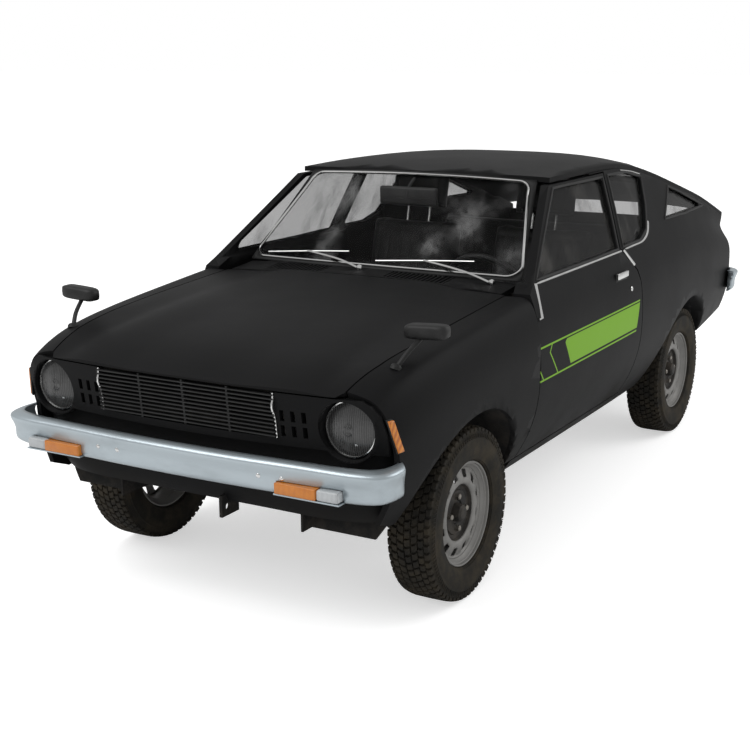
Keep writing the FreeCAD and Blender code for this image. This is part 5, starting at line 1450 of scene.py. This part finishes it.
@dataclass
class Cabin(Assembly):
    """Seats, steering wheel dressing and the fascia's instruments."""

    seat_x: float = 0.310

    def pad(self, name: str, size: Point, crown: float, channels: Sequence[float],
            turn: float, middle: Point) -> bpy.types.Object:
        """Make a crowned pad with sewn channels and a piped edge.

        Args:
            name: the piece's name.
            size: width, length and thickness before crowning.
            crown: how far the top swells.
            channels: places of the sewn channels across the width, from -1 to 1.
            turn: tilt about the X axis in degrees.
            middle: where the pad's centre goes.

        Returns:
            The finished padded piece.
        """
        wide, long, thick = size
        across, along = 48, 40
        points, faces = [], []
        for layer in (1, -1):
            for j in range(along + 1):
                for i in range(across + 1):
                    u, v = 2 * i / across - 1, 2 * j / along - 1
                    edge = (1 - abs(u) ** 7) * (1 - abs(v) ** 7)
                    pull_u, pull_v = 1 - 0.035 * (1 - v * v), 1 - 0.03 * (1 - u * u)
                    x = wide / 2 * (u * (1.0 - 0.03 * abs(v) ** 6)) * (pull_u if abs(u) > 0.6 else 1)
                    y = long / 2 * (v * (1.0 - 0.03 * abs(u) ** 6)) * (pull_v if abs(v) > 0.6 else 1)
                    rise = thick / 2 * max(edge, 0.0) ** 0.34
                    if layer == 1:
                        rise += crown * (1 - u * u) * (1 - v * v)
                        panel = abs(u) < 0.74 and abs(v) < 0.80
                        if panel:
                            rise -= sum(0.007 * math.exp(-((u - c) * wide / 2 / 0.006) ** 2)
                                        for c in channels)
                        for seam, value in ((0.74, abs(u)), (0.80, abs(v))):
                            near = (value - seam) * wide / 2
                            rise -= 0.006 * math.exp(-(near / 0.005) ** 2)
                    points.append((x, y, rise * layer))
        count = across + 1
        for layer in range(2):
            base = layer * count * (along + 1)
            for j in range(along):
                for i in range(across):
                    a = base + j * count + i
                    faces.append((a, a + 1, a + count + 1, a + count))
        pad = new_object(name, points, faces, self.finishes.vinyl, 80)
        modify(pad, "SUBSURF", levels=1, render_levels=1)
        pad = bake(pad, name)
        place = Matrix.Translation(middle) @ Matrix.Rotation(math.radians(turn), 4, "X")
        pad.data.transform(place)
        return pad

    def dress(self) -> None:
        """Build the seats, the fascia and the wheel's centre."""
        for side in Side:
            self.front_seat(side)
        self.rear_seat()
        self.fascia()

    def front_seat(self, side: Side) -> None:
        """Build one front seat on its runners.

        Args:
            side: the side of the car.
        """
        f, name, x = self.finishes, side.name.lower(), self.seat_x * side.value
        ribs = (-0.5, -0.25, 0.0, 0.25, 0.5)
        cushion = self.pad("seat_cushion_" + name, (0.450, 0.480, 0.115), 0.016, ribs, 0.5,
                           (x, -0.125, 0.582))
        back = self.pad("seat_back_" + name, (0.450, 0.500, 0.095), 0.016, ribs, 90 - 14, (x, 0.215, 0.835))
        rest = self.pad("head_restraint_" + name, (0.278, 0.155, 0.070), 0.010, (), 90 - 14,
                        (x, 0.297, 1.204))
        fit(cushion, "shell", "seat_vinyl", *(["front_seats"] if side is Side.LEFT else []))
        fit(back, "shell", "seat_vinyl")
        fit(rest, "shell", "seat_vinyl")
        metal = []
        for i, shift in enumerate((-0.055, 0.055)):
            line = [(x + shift, 0.262 + 0.10 * t * 0.24, 1.04 + 0.10 * t) for t in (0, 1)]
            metal.append(sweep(f"post_{i}", line, [(0, -1, 0)] * 2, oval(0.012, 0.012), f.chrome))
        for i, shift in enumerate((-0.170, 0.170)):
            metal.append(rounded((0.026, 0.44, 0.030), (x + shift, -0.115, 0.354), 0.004, f"runner_{i}",
                                 f.bolt, 1))
            for k, y in enumerate((-0.29, 0.06)):
                metal.append(rounded((0.022, 0.05, 0.16), (x + shift, y, 0.445), 0.004, f"leg_{i}{k}",
                                     f.bolt, 1))
        fit(join("seat_runners_" + name, metal), "shell", "underbody")

    def rear_seat(self) -> None:
        """Build the rear bench."""
        ribs = (-0.62, -0.48, -0.34, -0.2, 0.2, 0.34, 0.48, 0.62)
        base = self.pad("rear_seat_cushion", (0.945, 0.36, 0.135), 0.012, ribs, 0, (0, 0.490, 0.556))
        back = self.pad("rear_seat_back", (0.945, 0.455, 0.092), 0.012, ribs, 90 - 22, (0, 0.770, 0.815))
        fit(base, "shell", "seat_vinyl", "rear_seat")
        fit(back, "shell", "seat_vinyl")
        box = rounded((0.90, 0.33, 0.05), (0, 0.500, 0.480), 0.008, "rear_seat_base", self.finishes.carpet)
        fit(box, "shell", "underbody")

    def fascia(self) -> None:
        """Build the instrument hood, dials, vents and the wheel's boss cover."""
        f = self.finishes
        hood = rounded((0.42, 0.14, 0.10), (0.300, -0.475, 0.935), 0.022, "instrument_hood", f.plastic)
        fit(hood, "shell", "black_plastic")
        rings, faces = [], []
        for i, (x, r) in enumerate(((0.215, 0.040), (0.385, 0.040), (0.300, 0.026))):
            place = (x, -0.4045, 0.935)
            rings.append(lathe(f"dial_ring_{i}", [(-0.002, r), (0.004, r + 0.001), (0.004, r + 0.005),
                                                  (-0.002, r + 0.006)], place, (0, 1, 0), f.chrome, 32))
            faces.append(lathe(f"dial_{i}", [(-0.002, 0.0), (-0.002, r), (0.0008, r), (0.0008, 0.0)], place,
                               (0, 1, 0), f.dial, 32))
        fit(join("dial_rings", rings), "shell", "bumper_chrome")
        fit(join("dials", faces), "shell", "black_plastic")
        slat = rounded((0.15, 0.012, 0.004), (0, 0, 0), 0.0015, "vent_slat", f.plastic, 1)
        vents = [self.repeat.make("vent_centre", slat, 6, (0, 0.0, 0.011), middle=(-0.02, -0.434, 0.882))]
        slat = rounded((0.10, 0.012, 0.004), (0, 0, 0), 0.0015, "vent_slat", f.plastic, 1)
        vents.append(self.repeat.make("vent_side", slat, 5, (0, 0.0, 0.011), middle=(-0.50, -0.434, 0.885)))
        fit(join("fascia_vents", vents), "shell", "black_plastic")
        lid = rounded((0.36, 0.010, 0.11), (-0.28, -0.449, 0.835), 0.006, "glove_lid", f.plastic)
        fit(lid, "shell", "black_plastic")
        tilt = math.radians(24)
        out = (0, math.cos(tilt), math.sin(tilt))
        boss = Vector((0.300, -0.275, 0.872))
        pad = lathe("horn_pad", [(-0.012, 0.0), (-0.012, 0.050), (0.004, 0.049), (0.010, 0.042),
                                 (0.012, 0.0)],
                    boss, out, f.vinyl, 40)
        ring = lathe("horn_ring", [(0.004, 0.036), (0.012, 0.037), (0.013, 0.039), (0.006, 0.043)], boss, out,
                     f.chrome, 40)
        fit(pad, "steering_wheel", "black_plastic")
        fit(ring, "steering_wheel", "bumper_chrome")


@dataclass
class Mirrors(Assembly):
    """Wing mirrors on their stalks."""

    def dress(self) -> None:
        """Build both mirrors."""
        for side in Side:
            self.build(side)

    def build(self, side: Side) -> None:
        """Build one mirror: base, bent stalk, head and glass.

        Args:
            side: the side of the car.
        """
        f, s, name = self.finishes, side.value, side.name.lower()
        skin = Skin("front_wing_" + name, "bonnet")
        foot, normal = skin.top(s * 0.657, -1.667)
        neck = Vector((s * 0.694, -1.572, 0.976))
        line = smooth_path([foot - normal * 0.004, foot.lerp(neck,
                                                             0.45) + Vector((s * 0.002, -0.004, 0.004)),
                            neck], 14)
        stalk = sweep("stalk", line, [(0, -1, 0.6)] * len(line), oval(0.017, 0.014, 12), f.plastic)
        base = lathe("mirror_base", [(-0.006, 0.0), (-0.006, 0.019), (0.004, 0.018), (0.010, 0.012),
                                     (0.012, 0.0)],
                     foot, (0.2 * s, 0.35, 1), f.plastic, 28)
        points, faces, count = [], [], 20
        rings = ((-1.0, 0.60), (-0.86, 0.84), (-0.5, 0.98), (0.0, 1.0), (0.62, 1.0), (0.86, 0.985),
                 (0.94, 0.95),
                 (0.94, 0.88), (0.72, 0.86))
        for depth, share in rings:
            for k in range(count):
                t = 2 * math.pi * k / count
                cx, cz = math.cos(t), math.sin(t)
                px = 0.0755 * share * math.copysign(abs(cx) ** 0.42, cx)
                pz = 0.0245 * share * math.copysign(abs(cz) ** 0.42, cz)
                points.append((s * 0.7085 + px, -1.566 + 0.0245 * depth, 0.9965 + pz + s * px * 0.05))
        for i in range(len(rings) - 1):
            faces += [(i * count + k, i * count + (k + 1) % count, (i + 1) * count + (k + 1) % count,
                       (i + 1) * count + k) for k in range(count)]
        last = (len(rings) - 1) * count
        faces += [tuple(range(count))[::-1], tuple(range(last, last + count))]
        head = new_object("mirror_head", points, faces, f.plastic, 45)
        fit(join("wing_mirror_" + name, [head, stalk, base]), "shell", "black_plastic",
            *(["wing_mirrors"] if side is Side.LEFT else []))
        glass = rounded((0.126, 0.003, 0.036), (s * 0.7085, -1.5465, 0.9965), 0.0014,
                        "wing_mirror_glass_" + name,
                        f.mirror, 2)
        fit(glass, "shell", "bumper_chrome")


@dataclass
class Tail(Assembly):
    """Tail lamps, blank plate, hatch seal and lock."""

    window: Tuple[Flat, ...] = ((-0.434, 0.950), (0.434, 0.950), (0.472, 1.490), (-0.472, 1.490))

    def dress(self) -> None:
        """Build the lamps and the trim at the back."""
        f = self.finishes
        skin = Skin("tail_lamps", "tail_panel")
        reds, ambers, clears, frames = [], [], [], []
        for side in Side:
            s, name = side.value, side.name.lower()
            for group, low, high, material in ((reds, 0.430, 0.566, f.red), (ambers, 0.566, 0.608, f.amber),
                                               (clears, 0.356, 0.430, f.white)):
                group.append(self.lens(f"tail_{name}_{len(group)}", skin, s, low, high, material))
            path, normals = [], []
            for x, z in self.rim(s):
                place, normal = skin.rear(x, z)
                path.append((place.x, place.y + 0.002, place.z))
                normals.append((0, 1, 0))
            frames.append(sweep("tail_frame_" + name, path, normals,
                                [(-0.005, -0.012), (0.005, -0.012), (0.005, 0.003), (0.002, 0.006),
                                 (-0.002, 0.006),
                                 (-0.005, 0.003)], f.chrome, True))
        fit(join("tail_red_lenses", reds), "shell", "red_lens", "tail_lamps")
        fit(join("tail_amber_lenses", ambers), "shell", "amber_lens")
        fit(join("tail_clear_lenses", clears), "shell", "lamp_glass")
        fit(join("tail_frames", frames), "shell", "bumper_chrome")
        place, _ = Skin("tail_panel").rear(0.0, 0.79)
        plate = rounded((0.34, 0.004, 0.17), (0, place.y + 0.003, 0.785), 0.0015, "plate_blank", f.white, 1)
        fit(plate, "shell", "lamp_glass")
        screw = lathe("screw", [(0.0, 0.0), (0.0, 0.006), (0.003, 0.005), (0.004, 0.0)],
                      (-0.12, place.y + 0.004, 0.785), (0, 1, 0), f.bolt, 12)
        fit(self.repeat.make("plate_screws", screw, 2, (0.24, 0, 0)), "shell", "bumper_chrome")
        roof = Skin("hatch")
        line = []
        for i, (x, y) in enumerate(self.window):
            nx, ny = self.window[(i + 1) % 4]
            line += [(x + (nx - x) * k / 16, y + (ny - y) * k / 16) for k in range(16)]
        middle = Vector((0, 1.22))
        grown = [Vector(p) + (Vector(p) - middle).normalized() * 0.004 for p in line]
        hits = [roof.top(p.x, p.y) for p in grown]
        seal = sweep("hatch_seal", [h[0] for h in hits], [(0, 0.25, 1)] * len(hits),
                     [(-0.009, -0.006), (0.009, -0.006), (0.009, 0.001), (0.004, 0.004), (-0.004, 0.004),
                      (-0.009, 0.001)], f.rubber, True)
        fit(seal, "hatch", "black_plastic")
        spot, normal = roof.top(0.0, 1.80)
        lock = lathe("hatch_lock", [(-0.004, 0.0), (-0.004, 0.016), (0.003, 0.015), (0.006, 0.011),
                                    (0.006, 0.0)],
                     spot, normal, f.chrome, 28)
        fit(lock, "hatch", "bumper_chrome")

    @staticmethod
    def rim(s: int) -> List[Flat]:
        """Return the outline of one lamp cluster as (across, height).

        Args:
            s: 1 on the left, -1 on the right.

        Returns:
            The outline.
        """
        low_x, high_x, low, high, r = 0.350, 0.612, 0.734, 0.851, 0.014
        line = []
        for cx, cz, start in ((high_x - r, low + r, -90), (high_x - r, high - r, 0),
                              (low_x + r, high - r, 90),
                              (low_x + r, low + r, 180)):
            line += [(s * (cx + r * math.cos(math.radians(start + t))),
                      cz + r * math.sin(math.radians(start + t)))
                     for t in (0, 22, 45, 68, 90)]
        dense = []
        for i, (x, z) in enumerate(line):
            nx, nz = line[(i + 1) % len(line)]
            parts = 6 if math.hypot(nx - x, nz - z) > 0.03 else 1
            dense += [(x + (nx - x) * k / parts, z + (nz - z) * k / parts) for k in range(parts)]
        return dense

    def lens(self, name: str, skin: Skin, s: int, low: float, high: float,
             material: bpy.types.Material) -> bpy.types.Object:
        """Make one fluted lens over the tail's curve.

        Args:
            name: the piece's name.
            skin: the surface that it follows.
            s: 1 on the left, -1 on the right.
            low: inner edge across.
            high: outer edge across.
            material: its finish.

        Returns:
            The finished object.
        """
        columns, rows = 30, 12
        points, faces = [], []
        for j in range(rows + 1):
            for i in range(columns + 1):
                u, v = i / columns, j / rows
                x, z = s * (low + (high - low) * u), 0.738 + 0.109 * v
                place, _ = skin.rear(x, z)
                edge = 1 - max(abs(2 * u - 1), abs(2 * v - 1)) ** 8
                points.append((x, place.y + 0.001 + 0.005 * edge + 0.0012 * math.cos(j * math.pi), z))
        count = columns + 1
        for j in range(rows):
            faces += [(j * count + i, j * count + i + 1, (j + 1) * count + i + 1, (j + 1) * count + i)
                      for i in range(columns)]
        thing = new_object(name, points, faces, material, 30)
        modify(thing, "SOLIDIFY", thickness=0.004, offset=-1.0)
        return bake(thing, name)


@dataclass
class Studio:
    """Floor, backdrop light and the camera."""

    camera: Point = (2.6509, -5.22254, 1.88476)
    lens: float = 65.4
    azimuth: float = 30.2
    elevation: float = 13.92
    roll: float = -0.44

    def build(self) -> None:
        """Set the stage."""
        self.world()
        self.floor()
        self.lights()
        self.take()
        bpy.context.scene.view_settings.view_transform = "Standard"

    def world(self) -> None:
        """Light softly from all round and show white to the camera."""
        world = bpy.data.worlds.new("studio")
        world.use_nodes = True
        bpy.context.scene.world = world
        maker = NodeMaker(world.node_tree)
        world.node_tree.nodes.clear()
        path = maker.node("ShaderNodeLightPath").outputs
        seen = Signal(maker, path["Is Camera Ray"]).math("MAXIMUM", path["Is Transmission Ray"])
        strength = 0.80 - Signal(maker, path["Is Glossy Ray"]) * 0.30
        soft = maker.node("ShaderNodeBackground", None, {"Color": grey(1.0), "Strength": strength})
        white = maker.node("ShaderNodeBackground", None, {"Color": grey(1.0), "Strength": 1.0})
        mixed = maker.node("ShaderNodeMixShader", None, {0: seen, 1: soft.outputs[0], 2: white.outputs[0]})
        maker.node("ShaderNodeOutputWorld", None, {0: mixed.outputs[0]})

    def floor(self) -> None:
        """Lay a plain pale floor that keeps the car's shadow."""
        finish = Finish("pale_floor")
        path = finish.node("ShaderNodeLightPath").outputs
        matt = finish.node("ShaderNodeBsdfDiffuse", None, {"Color": grey(0.80)})
        glow = finish.node("ShaderNodeEmission", None, {"Color": grey(1.0), "Strength": 0.55})
        both = finish.node("ShaderNodeAddShader", None, {0: matt.outputs[0], 1: glow.outputs[0]})
        seen = Signal(finish, path["Is Camera Ray"]).math("MAXIMUM", path["Is Transmission Ray"])
        mixed = finish.node("ShaderNodeMixShader", None, {0: seen, 1: matt.outputs[0], 2: both.outputs[0]})
        finish.node("ShaderNodeOutputMaterial", None, {0: mixed.outputs[0]})
        reach = 60.0
        floor = new_object("floor_stage", [(-reach, -reach, 0), (reach, -reach, 0), (reach, reach, 0),
                                           (-reach, reach, 0)], [(0, 1, 2, 3)], finish.material)

    def lights(self) -> None:
        """Hang one broad soft light over the front left and one over the tail."""
        for name, place, power, size in (("key", (-2.5, -5.0, 5.5), 190.0, 5.0),
                                         ("fill", (4.5, 3.0, 4.0), 90.0, 4.0)):
            lamp = bpy.data.lights.new(name, "AREA")
            lamp.energy, lamp.size = power, size
            holder = bpy.data.objects.new(name, lamp)
            bpy.context.scene.collection.objects.link(holder)
            holder.location = place
            holder.rotation_euler = (Vector((0, 0, 0.6)) - Vector(place)).to_track_quat("-Z", "Y").to_euler()

    def take(self) -> None:
        """Place the camera."""
        data = bpy.data.cameras.new("camera")
        data.lens, data.sensor_width = self.lens, 36.0
        data.clip_start, data.clip_end = 0.05, 300.0
        thing = bpy.data.objects.new("camera", data)
        bpy.context.scene.collection.objects.link(thing)
        a, e, r = (math.radians(v) for v in (self.azimuth, self.elevation, self.roll))
        back = Vector((math.sin(a) * math.cos(e), -math.cos(a) * math.cos(e), math.sin(e)))
        right = (-back).cross(Vector((0, 0, 1))).normalized()
        up = right.cross(-back)
        right, up = right * math.cos(r) + up * math.sin(r), up * math.cos(r) - right * math.sin(r)
        thing.matrix_world = Matrix.Translation(self.camera) @ Matrix((right, up, back)).transposed().to_4x4()
        bpy.context.scene.camera = thing


def main() -> None:
    """Build every sub-assembly round the frame."""
    logging.basicConfig(level=logging.INFO, format="%(name)s: %(message)s")
    Studio().build()
    finishes, repeat = Finishes.build(), Repeat("repeat_parts")
    Panels(finishes, repeat).dress()
    Screen(finishes, repeat).dress()
    Nose(finishes, repeat).dress()
    Bumpers(finishes, repeat).dress()
    for side in Side:
        Flank(finishes, repeat, side).dress()
    for corner, x, y in (("front_left", 0.640, -1.268), ("front_right", -0.640, -1.268),
                         ("rear_left", 0.612, 1.072),
                         ("rear_right", -0.612, 1.072)):
        Wheel(finishes, repeat, corner, (x, y, 0.305)).dress()
    Cabin(finishes, repeat).dress()
    Mirrors(finishes, repeat).dress()
    Tail(finishes, repeat).dress()


if __name__ == "__main__":
    main()
